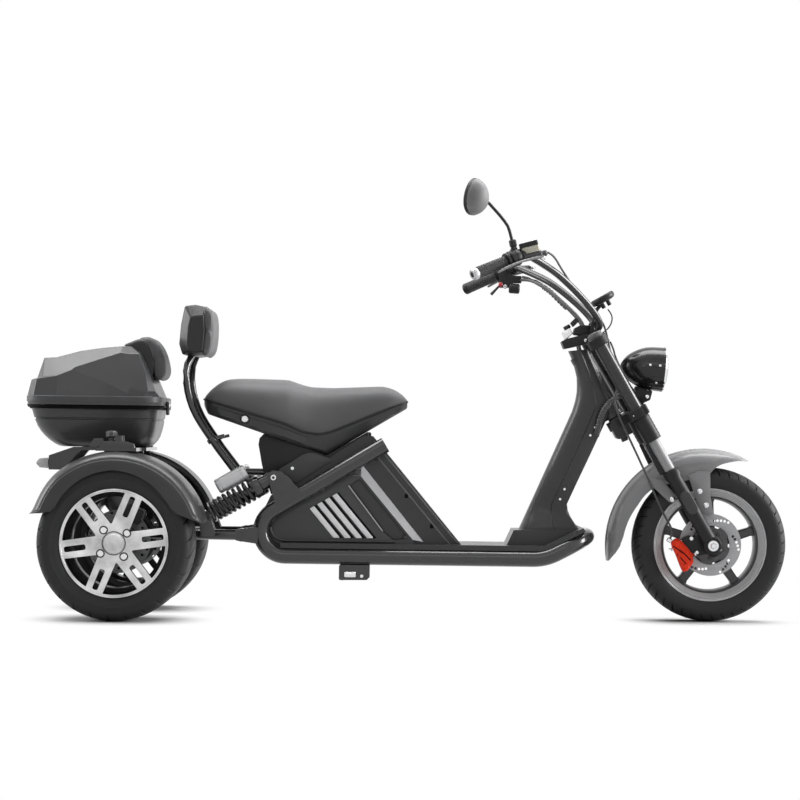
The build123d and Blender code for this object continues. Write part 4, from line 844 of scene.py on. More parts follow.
for x in sorted(set(stations)):
    top = flowing(SEAT_TOP, x) if -600 < x < -40 else reading(SEAT_TOP, x)
    line = flowing(SEAT_LINE, x)
    half = flowing(SEAT_HALF, x) if -600 < x < -40 else reading(SEAT_HALF, x)
    ring = []
    for k in range(33):
        turn = math.pi * k / 32
        y = -half * math.copysign(abs(math.cos(turn)) ** 0.72, math.cos(turn))
        z = line + 2 + (top - line - 2) * math.sin(turn) ** 0.55
        ring.append((x, y, z))
    ring += [
        (x, half * 0.97, line - 1), (x, half * 0.5, line + 1), (x, -half * 0.5, line + 1), (x, -half * 0.97, line - 1),
    ]
    seat_rings.append(ring)
    foot = min(reading(PAN_FOOT, x), line - 8)
    drop = line - foot
    wall = [
        (0.975, line - 1), (0.97, line - 0.25 * drop), (0.95, line - 0.3 * drop), (0.93, line - 0.75 * drop),
        (0.86, foot + 3), (0.8, foot),
    ]
    ring = [(x, -half * share, z) for share, z in wall] + [(x, half * share, z) for share, z in reversed(wall)]
    ring += [(x, half * 0.4, line + 0.5), (x, -half * 0.4, line + 0.5)]
    pan_rings.append(ring)
    for side in (-1, 1):
        piping[side].append((x, side * (half + 0.5), line))
seat_cushion = build(
    "seat_cushion", skin(seat_rings), "seat", "grey_leather", leather, stands_for=("seat_pad",), crease=60
)
build("seat_pan_moulding", skin(pan_rings), "seat", "black_plastic", pan_grey, stands_for=("seat_pan",), crease=40)
build("seat_piping", joined(tube(piping[-1], 3.2, 8), tube(piping[1], 3.2, 8)), "seat", "black_plastic", piping_black)
lock_barrel = [(0, 0), (11, 0), (11, 4), (9, 6), (6, 6), (6, 4.5), (0, 4.5)]
seat_lock_at = middle_of("seat_lock")
lock_ring = [(11, -4), (15, -4), (15, 3), (13.5, 4.5), (11, 4.5)]
lock_face = (seat_lock_at.x, -142, seat_lock_at.z)
lock_collar = lathe(lock_ring, lock_face, (0, -1, 0), 32, looped=True)
build("seat_lock_ring", lock_collar, "seat", "black_plastic", piping_black)
build("seat_lock_barrel", lathe(lock_barrel, lock_face, (0, -1, 0), 32), "seat", "bright_steel", nut_steel)
dress(nut_steel, "seat_lock")


# Battery case: a folded steel housing under the seat, closed by pressed side panels with four slats and a recess.
# Each is screwed on inside the tube loop, and its front edge is chamfered where it meets the case; the chamfer and the
# recess edge are painted light grey as a highlight.
# A moulded box and a rubber rest stand on the case and carry the seat.
case_paint = finish("case_paint", (0.036, 0.036, 0.038), 0.36, tone=0.12, grain=0.06, grain_mm=1.3, coat=0.2)
panel_paint = finish("panel_paint", (0.054, 0.054, 0.056), 0.42, tone=0.12, grain=0.1, grain_mm=1.2, coat=0.1)
# Light grey painted highlight for the chamfer and the recess edge, where the front and top lamps catch their slopes.
edge_painted_highlight = finish("chamfer_painted_highlight", (0.34, 0.34, 0.35), 0.36, metallic=0.5, tone=0.1, grain=0.1, grain_mm=0.8)
slat_silver = finish("slat_silver", (0.76, 0.76, 0.77), 0.4, metallic=0.1, tone=0.05, grain=0.05, grain_mm=0.8)
rim_grey = finish("case_rim_grey", (0.12, 0.12, 0.124), 0.34, tone=0.1, grain=0.05, grain_mm=1.0, coat=0.2)
dress(case_paint, "battery_case", "deck", "column_plinth")
SEAT_BOX = [
    (-262, 476), (-419, 373), (-445, 450), (-449, 466), (-455, 500), (-460, 526), (-457, 545), (-444, 559), (-262, 499),
]
build("seat_box_moulding", plate(SEAT_BOX, 4, 199, 3), "frame", "satin_black", cast_black, stands_for=("seat_box",))
panel_corner = [polar(51, 270 - 149 * k / 14) for k in range(15)]
PANEL = [(x - 373, z + 264) for x, z in panel_corner] + [(-172, 446), (-146, 433), (13, 243), (22, 214)]
RECESS = [(-184, 404), (-150, 427), (1, 247), (-46, 242), (-79, 268)]
BEAD = [
    (-40, 236), (-372, 236), (-392, 239), (-408, 248), (-417, 262), (-420, 276), (-416, 292), (-408, 304), (-396, 315),
    (-376, 328), (-290, 380), (-176, 449),
]
GUSSET = [
    (-398, 444), (-396, 451), (-358, 475), (-327, 496), (-306, 503), (-285, 501), (-243, 486), (-236, 478), (-350, 404),
]
LUG = [(-437, 441), (-418, 443), (-392, 447), (-359, 425), (-346, 406), (-396, 374), (-413, 405)]


def flat(outlines, y, thick, edge):
    return moved(stamped(outlines, thick, edge), upright(0, y, 0))


for side, name in ((-1, "right"), (1, "left")):
    stands = once(side, "side_panels", "panel_slats")
    build(
        f"panel_pressing_{name}", flat([PANEL, rounded(RECESS, 10)], side * 120, 12, 1.5), "frame", "graphite",
        panel_paint, stands_for=stands
    )
    build(f"recess_floor_{name}", plate(RECESS, 6, 4, 0.5, y=side * 116), "frame", "graphite", case_paint)
    build(
        f"recess_edge_{name}", flat([[(-185, 404), (-80, 267), (-77, 269), (-182, 406)]], side * 126, 2, 0.4), "frame",
        "graphite", edge_painted_highlight
    )
    build(f"panel_bead_{name}", tube([(x, side * 126, z) for x, z in BEAD], 4.5, 12), "frame", "graphite", panel_paint)
    low = [(-174, 452), (-145, 471), (46, 236)]
    high = [(-170, 436), (-146, 433), (13, 243)]
    points = [(x, side * 113, z) for x, z in low]
    points += [(x, side * 127.5, z) for x, z in high]
    points += [(x, side * 112, z) for x, z in low + high]
    faces = [
        (0, 1, 4, 3), (1, 2, 5, 4), (6, 7, 10, 9), (7, 8, 11, 10), (0, 1, 7, 6), (1, 2, 8, 7), (3, 4, 10, 9),
        (4, 5, 11, 10), (0, 3, 9, 6), (2, 5, 11, 8),
    ]
    build(f"panel_chamfer_{name}", (points, faces), "frame", "graphite", edge_painted_highlight, edge=0.8)
    slats = []
    shadows = []
    for k in range(4):
        top = -301 + 22.7 * k
        foot = -227 + 34 * k
        high = 334 + 0.578 * (top + 301)
        slats.append(plate([(top, high), (top + 14, high + 8), (foot + 20, 246), (foot, 246)], 3, 6, 1.2, y=side * 127))
        # Behind each slat a near-black strip is painted shadow in the slat's recess.
        groove = [(top + 13, high + 8), (top + 20, high + 11), (foot + 29, 246), (foot + 19, 246)]
        shadows.append(flat([groove], side * 125.4, 2, 0.3))
    build(f"panel_slats_{name}", joined(*slats), "frame", "silver_paint", slat_silver)
    build(f"slat_painted_shadows_{name}", joined(*shadows), "frame", "black_plastic", painted_shade_black)
    heads = [screw((x, side * 126, z), (0, side, 0), 6, 4) for x, z in ((-260, 389), (-340, 236), (-10, 250))]
    build(f"panel_screws_{name}", joined(*heads), "frame", "bright_steel", dark_steel)
    # Near-black squares on the case side are painted shade for its dark holes.
    plugs = []
    for x, z in ((-104, 488), (-8, 375), (70, 284)):
        square = rounded([(x - 5, z - 6), (x + 5, z - 6), (x + 5, z + 6), (x - 5, z + 6)], 2)
        plugs.append(flat([square], side * 113, 3, 0.6))
    build(f"case_hole_shades_{name}", joined(*plugs), "frame", "black_plastic", painted_shade_black)
    slope = Vector((272, -326)).normalized()
    inward = Vector((-slope.y, slope.x)) * -1
    trims = []
    for gap in (3, 24):
        a = Vector((-112, 552)) + inward * gap + slope * 12
        b = Vector((158, 232)) + inward * gap - slope * 8
        trims.append(flat([[a, b, b + inward * 5, a + inward * 5]], side * 113, 4, 0.8))
    build(f"case_edge_trim_{name}", joined(*trims), "frame", "graphite", rim_grey)
    build(f"seat_gusset_{name}", plate(GUSSET, 7, 8, 1.5, y=side * 114), "frame", "satin_black", panel_paint)
    build(f"shock_lug_{name}", plate(LUG, 9, 8, 1.5, y=side * 161), "frame", "satin_black", powder_black)
    build(
        f"gusset_screw_{name}", screw((-355, side * 118, 455), (0, side, 0), 6, 4), "frame", "bright_steel", nut_steel
    )
SEAT_REST = [(-300, 470), (-225, 470), (-126, 532), (-126, 570), (-252, 496), (-286, 502)]
build("seat_rest", plate(SEAT_REST, 3, 190, 3), "frame", "rubber", piping_black)

# Stand bracket: a folded steel plate, powder coated black, welded under the rail on the right.
# A turned boss and a socket screw on it take the side stand.
stand = [(-209, 166), (-117, 166), (-116, 131), (-124, 121), (-209, 120)]
build("stand_plate", plate(stand, 5, 6, 1, y=-158), "frame", "satin_black", powder_black)
boss = [(0, -12), (8, -12), (9, -10), (9, 20), (8, 22), (0, 22)]
build("stand_boss", lathe(boss, (-180, -166, 138), (1, 0, 0), 24), "frame", "bright_steel", nut_steel)
build("stand_screw", screw((-140, -161, 133), (0, -1, 0), 6, 4), "frame", "bright_steel", nut_steel)

# Steering column: a pressed steel post welded to the plinth, round at the back, with a screwed flat cover to the front.
# It widens into a foot on the floor and carries the head tube at its top.
column_paint = finish("column_paint", (0.036, 0.036, 0.038), 0.36, tone=0.12, grain=0.1, grain_mm=1.2, coat=0.2)
FLOOR_HEIGHT = 276
COLUMN_BACK = [
    (276, 339.25), (300, 350), (400, 394), (500, 438), (600, 482), (647, 502), (680, 510), (706, 514), (750, 512),
    (790, 500), (812, 491), (830, 482),
]
COLUMN_FRONT = [
    (276, 527), (284, 520), (296, 510), (318, 496), (336, 488.5), (355, 486), (400, 506), (500, 552), (612, 602),
    (640, 612), (661, 620), (700, 602), (750, 580), (812, 552), (830, 543),
]
column_rings = []
for z in (
    276, 280, 286, 294, 304, 318, 336, 355, 380, 420, 460, 500, 540, 580, 612, 640, 661, 680, 700, 720, 745, 770, 790,
    806, 817, 825
):
    back = reading(COLUMN_BACK, z)
    front = reading(COLUMN_FRONT, z)
    length = front - back
    foot = 1 - eased((z - FLOOR_HEIGHT) / 70)
    half = 42 + 22 * foot
    ridge = back + 0.56 * length
    side_line = [
        (back, 0), (back + 2.5, half * 0.34), (back + 9, half * 0.62), (back + 19, half * 0.82),
        (back + 32, half * 0.95), (ridge - 6, half),
    ]
    side_line += [
        (ridge, half * 0.99), (ridge + 3, half * 0.9), (front - 10, half * 0.86), (front - 3, half * 0.78),
        (front, half * 0.66), (front, 0),
    ]
    slant = 0.1 if z > 820 else 0
    ring = [(x, y, z + slant * (x - back)) for x, y in [(x, -y) for x, y in side_line] + side_line[-2:0:-1]]
    column_rings.append(ring)
build("column_post", skin(column_rings), "frame", "satin_black", column_paint, stands_for=("column",), crease=34)
FRONT_AXLE = Vector((924.25, 0, 236.5))
RAKE_SINE = 0.5
RAKE_COSINE = 0.8660254
RAKE = Matrix(((RAKE_COSINE, 0, -RAKE_SINE, 0), (0, 1, 0, 0), (RAKE_SINE, 0, RAKE_COSINE, 0), (0, 0, 0, 1)))
FORK = Matrix.Translation(FRONT_AXLE) @ RAKE


def on_fork(ahead, across, up):
    return FORK @ Vector((ahead, across, up))


fork_line = Vector((-RAKE_SINE, 0, RAKE_COSINE))
head_tube = [
    (15, 484), (33, 484), (34, 488), (34, 500), (32, 503), (32, 680), (34, 683), (34, 698), (33, 702), (15, 702),
]
build(
    "head_tube", lathe(head_tube, on_fork(-60, 0, 0), fork_line, 48, looped=True), "frame", "satin_black", column_paint
)
cover_screws = []
for side in (-1, 1):
    for x, z in ((464, 370), (477, 401), (554, 567), (569, 591)):
        cover_screws.append(screw((x, side * 36.5, z), (0, side, 0), 4.5, 3.5))
build("column_screws", joined(*cover_screws), "frame", "bright_steel", nut_steel)


# Fork: raked telescopic legs, with satin ground stanchions between cast lower legs and ribbed shrouds under the yokes.
# The sleeves above are gloss black tube, held in two cast yokes by socket bolts.
# The ignition lock, a relay and the bar clamp sit on the upper yoke, and the horn hangs behind the lower one.
sleeve_gloss = finish("gloss_black_tube", (0.02, 0.02, 0.021), 0.26, tone=0.15, coat=0.4)
hard_chrome = finish("hard_chrome", (0.82, 0.82, 0.83), 0.1, metallic=1.0, tone=0.04, grain=0.04, grain_mm=0.8)
satin_tube = finish("ground_tube", (0.27, 0.27, 0.275), 0.5, metallic=0.15, tone=0.05, grain=0.05, grain_mm=0.8)
leg_black = finish("cast_leg_black", (0.011, 0.011, 0.012), 0.46, tone=0.2, grain=0.02, grain_mm=1.2)
dress(sleeve_gloss, "fork_sleeves")
dress(satin_tube, "fork_stanchions")
dress(leg_black, "lower_yoke")
dress(nut_steel, "front_axle")
LEG_SPREAD = 100
fork_rings = []
fork_caps = []
yokes = []
lower_rings = []
fork_bolts = []
leg_flats = []
legs = []
for side in (-1, 1):
    y = side * LEG_SPREAD
    shroud = [(22, 366), (26.5, 366), (27, 370)]
    shroud += [(27 + (0.9 if k % 2 else -0.3), 374 + 6 * k) for k in range(12)]
    shroud += [(27, 444), (26, 448)]
    fork_rings.append(lathe(shroud, on_fork(0, y, 0), fork_line, 48))
    seal = [(17, 240), (26.5, 240), (27, 243), (27, 256), (25.5, 260), (19, 262), (18, 264), (17, 264)]
    fork_rings.append(lathe(seal, on_fork(0, y, 0), fork_line, 48, looped=True))
    cap = [(0, 724), (24, 724), (24, 734), (22, 739), (14, 741.5), (0, 742)]
    fork_caps.append(lathe(cap, on_fork(0, y, 0), fork_line, 32))
    clamp = [(22, 694), (31, 694), (33, 697), (33, 722), (31, 725), (22, 725)]
    yokes.append(lathe(clamp, on_fork(0, y, 0), fork_line, 40, looped=True))
    ring = [(21, 447), (32, 447), (34, 450), (34, 474), (32, 477), (21, 477)]
    lower_rings.append(lathe(ring, on_fork(0, y, 0), fork_line, 40, looped=True))
    fork_bolts.append(screw(on_fork(-20, side * 126, 462), (-0.5, side * 0.8, -0.3), 5, 3))
    fork_bolts.append(screw((536, side * 37, 858), (0, side, 0), 6, 4))
    leg = [(0, -34), (14, -34), (19, -31), (22.5, -26), (22.5, 60), (22, 66), (22, 232), (24, 238), (24, 244), (0, 244)]
    legs.append(lathe(leg, on_fork(0, y, 0), fork_line, 40))
    guard = [(-17, 262), (-17, 366), (-28, 366), (-33, 300), (-33, 262)]
    guard = [(p.x, p.z) for p in (on_fork(a, 0, u) for a, u in guard)]
    legs.append(plate(guard, 3, 6, 1, y=y))
    legs.append(lathe([(0, 79), (25, 79), (27, 82), (27, 118), (25, 121), (0, 121)], FRONT_AXLE, (0, side, 0), 40))
    oval = [polar(16, 90 + 180 * k / 10) for k in range(11)]
    oval = [(x - 22, z) for x, z in oval] + [(22 - x, -z) for x, z in oval]
    lean = Matrix(((-0.5, 0.866, 0, 0), (0, 0, -side, 0), (0.866, 0.5, 0, 0), (0, 0, 0, 1)))
    place = Matrix.Translation(on_fork(0, side * 122.5, 150))
    leg_flats.append(moved(stamped([oval], 5, 1.2), place @ lean))
    washer = [(0, 0), (17, 0), (17, 3), (13, 5), (13, 8), (6, 8), (6, 5), (0, 5)]
    fork_rings.append(lathe(washer, FRONT_AXLE + Vector((0, side * 122, 0)), (0, side, 0), 32))
build("fork_lower_legs", joined(*legs), "fork", "satin_black", leg_black, stands_for=("fork_legs",))
build("fork_rings_and_shrouds", joined(*fork_rings), "fork", "satin_black", leg_black, crease=28)
build("fork_pinch_bolts", joined(*fork_bolts), "fork", "bright_steel", nut_steel)
YOKE = [
    (462, 854), (471, 831), (485, 834), (506, 839), (521, 843), (534, 846), (556, 847), (584, 842), (594, 850),
    (586, 864), (566, 886), (552, 882), (534, 877), (521, 874), (496, 867), (477, 862),
]
yokes.append(plate(YOKE, 5, 72, 3))
bridge = [(554, 848), (586, 837), (597, 846), (590, 860), (566, 878), (548, 872), (540, 852)]
yokes.append(plate(bridge, 6, 200, 3))
build("upper_yoke_casting", joined(*yokes), "fork", "satin_black", leg_black, stands_for=("upper_yoke",))
build("lower_yoke_rings", joined(*lower_rings), "fork", "satin_black", leg_black)
build("fork_caps", joined(*fork_caps), "fork", "bright_alloy", rim_grey)
riser_parts = []
for side in (-1, 1):
    riser_parts.append(plate([(-16, -15), (16, -15), (18, 26), (-14, 28)], 6, 26, 2, 565, side * 42, 888))
build("bar_risers", joined(*riser_parts), "fork", "satin_black", leg_black)
key_block = [(464, 882), (488, 897), (498, 880), (475, 856)]
build("ignition_lock", plate(key_block, 4, 34, 2), "fork", "bright_steel", nut_steel)
key_cap = [(0, 0), (10, 0), (11, 2), (11, 11), (9, 13), (3, 13), (3, 11.5), (0, 11.5)]
build("ignition_cap", lathe(key_cap, (484, 0, 893), fork_line, 28), "fork", "black_plastic", back_shell)
relay = [(490, 912), (508, 930), (518, 918), (499, 899)]
build("relay_box", plate(relay, 3, 36, 2), "fork", "black_plastic", back_shell)
clamp_base = [(498, 876), (503, 896), (522, 906), (556, 904), (566, 884), (534, 872)]
build("bar_clamp_base", plate(clamp_base, 6, 60, 3), "fork", "satin_black", leg_black)
build("leg_flats", joined(*leg_flats), "fork", "satin_black", case_paint)
for side in (-1, 1):
    axle_nut = hex_nut(FRONT_AXLE + Vector((0, side * 132, 0)), (0, side, 0), 9.5, 9)
    build(f"front_axle_nut_{'right' if side < 0 else 'left'}", axle_nut, "fork", "bright_steel", nut_steel)
horn = [(613, 601), (635, 560), (644, 556), (656, 560), (688, 578), (664, 622), (639, 628), (617, 614)]
plug = [(649, 564), (656, 547), (673, 555), (668, 572)]
horn_parts = [plate(horn, 5, 66, 3), plate(plug, 2, 30, 1.5)]
build("horn_case", joined(*horn_parts), "fork", "black_plastic", back_shell, stands_for=("horn_box",))

# Front wheel: a cast five-spoke rim with a silver stepped ring and dark spokes, on a through axle.
# A drilled steel brake disc is bolted on its right, under a red painted caliper on a bracket from the leg.
FRONT_TREAD = [
    (164, 42, 0), (168, 45, 0), (171, 49, 0), (176, 54, 0), (190, 58.5, 0), (203, 60, 0), (213, 58.5, 1.5),
    (220, 54.5, 5), (226, 48, 6), (230.5, 38, 6), (233.6, 27, 6), (235.6, 15, 3), (236.3, 9, 0), (236.5, 3, 0),
]
front_hub = middle_of("front_tyre")
build(
    "front_tread", treaded(front_hub, FRONT_TREAD, 44, 0.9), "front_wheel", "tyre", rubber, stands_for=("front_tyre",)
)
ring_silver = finish("cast_ring_silver", (0.52, 0.52, 0.53), 0.36, metallic=0.4, tone=0.08, grain=0.1, grain_mm=0.8)
ring_grey = finish("cast_ring_grey", (0.42, 0.42, 0.425), 0.42, tone=0.08, grain=0.1, grain_mm=0.8)
spoke_grey = finish("spoke_grey", (0.075, 0.075, 0.078), 0.36, tone=0.15, grain=0.1, grain_mm=1.0, coat=0.15)
half_ring = [
    (139, 20), (141, 30), (143, 36), (146, 38), (147, 36.4), (148.5, 36.4), (149.5, 39), (151, 40.4), (164, 47),
    (165, 45), (166.5, 45), (167.5, 49.5), (170.5, 52.5), (172.5, 52), (173, 49), (170, 46), (167, 42), (160, 36),
    (152, 26),
]
ring_profile = half_ring + [(radius, -across) for radius, across in reversed(half_ring)]


def ring_tone(centre, normal):
    radius = math.hypot(centre.x - front_hub.x, centre.z - front_hub.z)
    return 1 if radius < 148.6 else 2 if 151.5 < radius < 164 else 0


build(
    "front_rim_ring", lathe(ring_profile, front_hub, (0, 1, 0), 120, looped=True), "front_wheel", "silver_paint",
    ring_silver, spoke_grey, ring_grey, stands_for=("front_rim",), pick=ring_tone, crease=24
)
front_spokes = []
for k in range(5):
    rings = []
    for radius, half, low, high in (
        (30, 19, -30, 30), (46, 18, -29, 29), (60, 16.5, -24, 24), (100, 14, -20, 20), (130, 13, -19, 19),
        (144, 18, -22, 22)
    ):
        ring = []
        for across, depth in (
            (-half, low + 4), (-half + 4, low), (half - 4, low), (half, low + 4), (half, high - 4), (half - 4, high),
            (-half + 4, high), (-half, high - 4)
        ):
            x, z = polar(radius, 18 + 72 * k, across)
            ring.append(front_hub + Vector((x, depth, z)))
        rings.append(ring)
    front_spokes.append(skin(rings))
hub_profile = [(22, -60), (30, -60), (33, -56), (34, -36), (40, -32), (40, 32), (34, 36), (33, 56), (30, 60), (22, 60)]
front_spokes.append(lathe(hub_profile, front_hub, (0, 1, 0), 48, looped=True))
build("front_spokes_and_hub", joined(*front_spokes), "front_wheel", "dark_alloy", spoke_grey, crease=28)
disc_holes = []
for k in range(6):
    for n in range(5):
        disc_holes.append(circle(4.2, 12, polar(74 + 3.6 * n, 81 + 60 * k - 7.4 * n)))
brake_face = stamped([circle(95, 96), circle(59)] + disc_holes, 5, 0.4)
disc_place = upright(front_hub.x, -48.5, front_hub.z)
build(
    "front_disc_ring", moved(brake_face, disc_place), "front_wheel", "bright_steel", disc_steel,
    stands_for=("front_disc",)
)
carrier_edge = []
for k in range(72):
    gap = abs((k * 5 + 30) % 72 - 36)
    carrier_edge.append(polar(61 if gap > 14 else 54, k * 5))
carrier = moved(stamped([carrier_edge, circle(22.4)], 8, 1), disc_place)
build("disc_carrier", carrier, "front_wheel", "dark_alloy", spoke_grey)
carrier_bolts = []
for k in range(5):
    x, z = polar(41, 54 + 72 * k)
    carrier_bolts.append(screw((front_hub.x + x, -52, front_hub.z + z), (0, -1, 0), 7, 3))
build("carrier_bolts", joined(*carrier_bolts), "front_wheel", "bright_steel", dark_steel)

caliper_paint = finish("red_caliper_paint", (0.8, 0.035, 0.005), 0.42, tone=0.1)
CALIPER = [
    (-124, 8), (-108, 21), (-94, 15), (-72, -9), (-58, -27), (-55, -52), (-72, -77), (-86, -83), (-95, -64),
    (-108, -31), (-120, -6),
]
caliper_parts = []
for depth, thick, share in ((-80, 30, 1.0), (-72, 58, 0.86)):
    centre = Vector((-92, -32))
    outline = [centre + (Vector(p) - centre) * share for p in CALIPER]
    caliper_parts.append(plate(outline, 9, thick, 3, FRONT_AXLE.x, depth, FRONT_AXLE.z))
for x, z, radius in ((-106, 4, 10), (-79, -66, 9), (-96, -30, 7)):
    boss = [(0, -4), (radius, -4), (radius, 3), (radius - 2, 5), (0, 5)]
    caliper_parts.append(lathe(boss, FRONT_AXLE + Vector((x, -100, z)), (0, -1, 0), 24))
build("caliper_body", joined(*caliper_parts), "fork", "caliper_red", caliper_paint, stands_for=("front_caliper",))
# The split lines between the caliper halves are painted shade black.
split = [
    [(-118, -2), (-84, -24), (-64, -44), (-66, -47), (-86, -27), (-119, -5)],
    [(-104, -26), (-76, -58), (-78, -60), (-106, -29)],
]
split_lines = [moved(stamped([line], 2, 0.3), upright(FRONT_AXLE.x, -101, FRONT_AXLE.z)) for line in split]
build("caliper_split_lines", joined(*split_lines), "fork", "black_plastic", painted_shade_black)
bracket = [(-92, 22), (-70, 30), (-44, 22), (-14, 24), (-8, -24), (-40, -34), (-66, -24), (-88, 4)]
build("caliper_bracket", plate(bracket, 8, 6, 1, FRONT_AXLE.x, -82, FRONT_AXLE.z), "fork", "satin_black", leg_black)
fittings = [
    screw(FRONT_AXLE + Vector((-62, -85, 20)), (0, -1, 0), 7, 6),
    screw(FRONT_AXLE + Vector((-44, -85, -22)), (0, -1, 0), 6, 6),
    lathe([(0, -6), (7, -6), (7, 6), (4, 8), (0, 8)], FRONT_AXLE + Vector((-128, -80, 14)), (-0.8, 0, 0.5), 12),
    lathe(
        [(0, -4), (4, -4), (4, 5), (6, 6), (6, 9), (2.5, 11), (2.5, 18), (0, 18)],
        FRONT_AXLE + Vector((-112, -80, -14)), (-1, 0, 0.1), 12
    ),
    lathe([(0, -4), (6, -4), (6, 6), (4, 8), (0, 8)], FRONT_AXLE + Vector((-52, -84, -28)), (0.6, -0.6, 0.2), 16),
]
build("caliper_fittings", joined(*fittings), "fork", "bright_steel", nut_steel)

# Front fender: a crowned steel pressing with a raised spine, ending in a thin nose and a long tail.
# Two stays a side bolt it to lugs on the fork legs.
fender_grey = finish("fender_grey", (0.225, 0.225, 0.23), 0.34, tone=0.08, grain=0.03, grain_mm=1.3, coat=0.25)
FENDER_CENTRE = Vector((905.25, 0, 232))
FENDER_CROWN = 299
SKIRT = [
    (63, 296), (65, 290), (67.5, 284), (74, 268), (79, 256), (82, 246), (84.5, 235), (87, 219), (89, 211), (92, 208),
    (112, 210), (118, 214), (124, 228), (130, 236), (140, 240), (149, 240), (163, 246), (174, 250), (181, 259),
    (185, 272), (187.5, 284), (189.5, 294),
]
SPREAD = [
    (63, 24), (64.5, 34), (67, 46), (72, 59), (78, 67), (84, 71), (90, 72), (170, 72), (180, 70), (185, 62), (188, 50),
    (189.5, 38),
]
CROWN = [
    (0, 0), (0.09, 0.2), (0.14, 3.4), (0.2, 4.2), (0.42, 6.5), (0.62, 10.5), (0.78, 16.5), (0.9, 25), (0.965, 34),
    (0.99, 44),
]
fender_rings = []
for k in range(85):
    turn = 63 + 126.5 * k / 84
    skirt = reading(SKIRT, turn)
    half = reading(SPREAD, turn)
    depth = FENDER_CROWN - skirt
    squeeze = min(1.0, depth / 52)
    side_line = [(half * share, FENDER_CROWN - drop * squeeze) for share, drop in CROWN] + [(half, skirt)]
    inner_line = [(max(0, across - 3), radius - 2.5) for across, radius in side_line[:-1]] + [(half - 3, skirt)]
    loop = side_line + list(reversed(inner_line)) + [(-across, radius) for across, radius in inner_line[1:]]
    loop += [(-across, radius) for across, radius in reversed(side_line[1:])]
    ring = []
    for across, radius in loop:
        x, z = polar(radius, turn)
        ring.append((FENDER_CENTRE.x + x, across, FENDER_CENTRE.z + z))
    fender_rings.append(ring)
build(
    "front_fender_pressing", skin(fender_rings), "fork", "graphite", fender_grey, stands_for=("front_fender",),
    crease=38
)
FRONT_STAY = [(-74, 212), (-40, 226), (-6, 224), (-4, 150), (6, 94), (-30, 94), (-48, 140)]
REAR_STAY = [(-192, 205), (-150, 196), (-106, 146), (-112, 128), (-130, 130), (-176, 172)]
stays = []
stay_bolts = []
for side in (-1, 1):
    for outline in (FRONT_STAY, REAR_STAY):
        stays.append(plate(outline, 6, 5, 1, FRONT_AXLE.x, side * 74.5, FRONT_AXLE.z))
    for x, z in ((-37, 164), (-17, 122), (-120, 139)):
        washer = [(8, 0), (8, 2.5), (6, 3.5), (3, 3.5)]
        stay_bolts.append(lathe(washer, FRONT_AXLE + Vector((x, side * 77, z)), (0, side, 0), 24))
        stay_bolts.append(screw(FRONT_AXLE + Vector((x, side * 79, z)), (0, side, 0), 6, 5))
build("fender_stays", joined(*stays), "fork", "graphite", fender_grey)
build("stay_bolts", joined(*stay_bolts), "fork", "bright_steel", nut_steel)

# Headlight: a deep-drawn gloss black bullet with louvred sides, closed by a clear lens in a thin bright rim.
# A bolted bracket carries it on the lower yoke.
lamp_gloss = finish("lamp_gloss_black", (0.011, 0.011, 0.012), 0.24, tone=0.1, coat=0.3)
lens_clear = finish("lens_clear", (0.3, 0.305, 0.31), 0.14, tone=0.04, grain=0.1, grain_mm=6)
lens_painted_shade = finish("lens_painted_shade", (0.22, 0.225, 0.23), 0.14, tone=0.04, grain=0.1, grain_mm=6)
lamp_back = Vector((646.25, 0, 782))
lamp_front = Vector((790.25, 0, 771))
lamp_line = (lamp_front - lamp_back).normalized()
bullet = [
    (0, 0), (6, 0.8), (12, 3), (18, 6.4), (25, 11), (33, 17.5), (40.5, 26), (47.5, 36.5), (54, 48), (59.5, 60),
    (64, 74), (66.6, 92), (67.6, 112), (68, 128), (68.8, 130), (68.8, 133), (64, 134), (60, 132), (0, 118),
]
build(
    "headlight_bullet", lathe(bullet, lamp_back, lamp_line, 72), "fork", "gloss_black", lamp_gloss,
    stands_for=("headlight_shell",), crease=40
)
lamp_up = Vector((0, 1, 0)).cross(lamp_line)
LENS_DOME = [(0, 147), (20, 146.4), (40, 144), (56, 139.5), (64, 134.5)]
lens_rings = []
for radius in (64, 61, 56, 49, 47, 40, 32, 30, 22, 15, 13, 8, 2):
    ring = []
    for k in range(108):
        y, z = polar(radius, 360 * k / 108)
        facet = 0.9 * abs(math.sin(math.radians(30 * k))) if 15 <= radius < 61 and radius not in (30, 47) else 0
        ring.append(lamp_back + lamp_line * (reading(LENS_DOME, radius) - facet) + Vector((0, y, 0)) + lamp_up * z)
    lens_rings.append(ring)


# Alternate facets of the lens take the darker lens colour: painted shade for the light and dark of the reflector
# facets.
def painted_facet_shading(centre, normal):
    away = Vector(centre) - lamp_back
    y, z = away.y, away.dot(lamp_up)
    radius = math.hypot(y, z)
    if radius < 13.5:
        return 2
    step = int(math.degrees(math.atan2(z, y)) // 20) + (radius > 31) + (radius > 48)
    return 1 if step % 2 and radius < 60 else 0


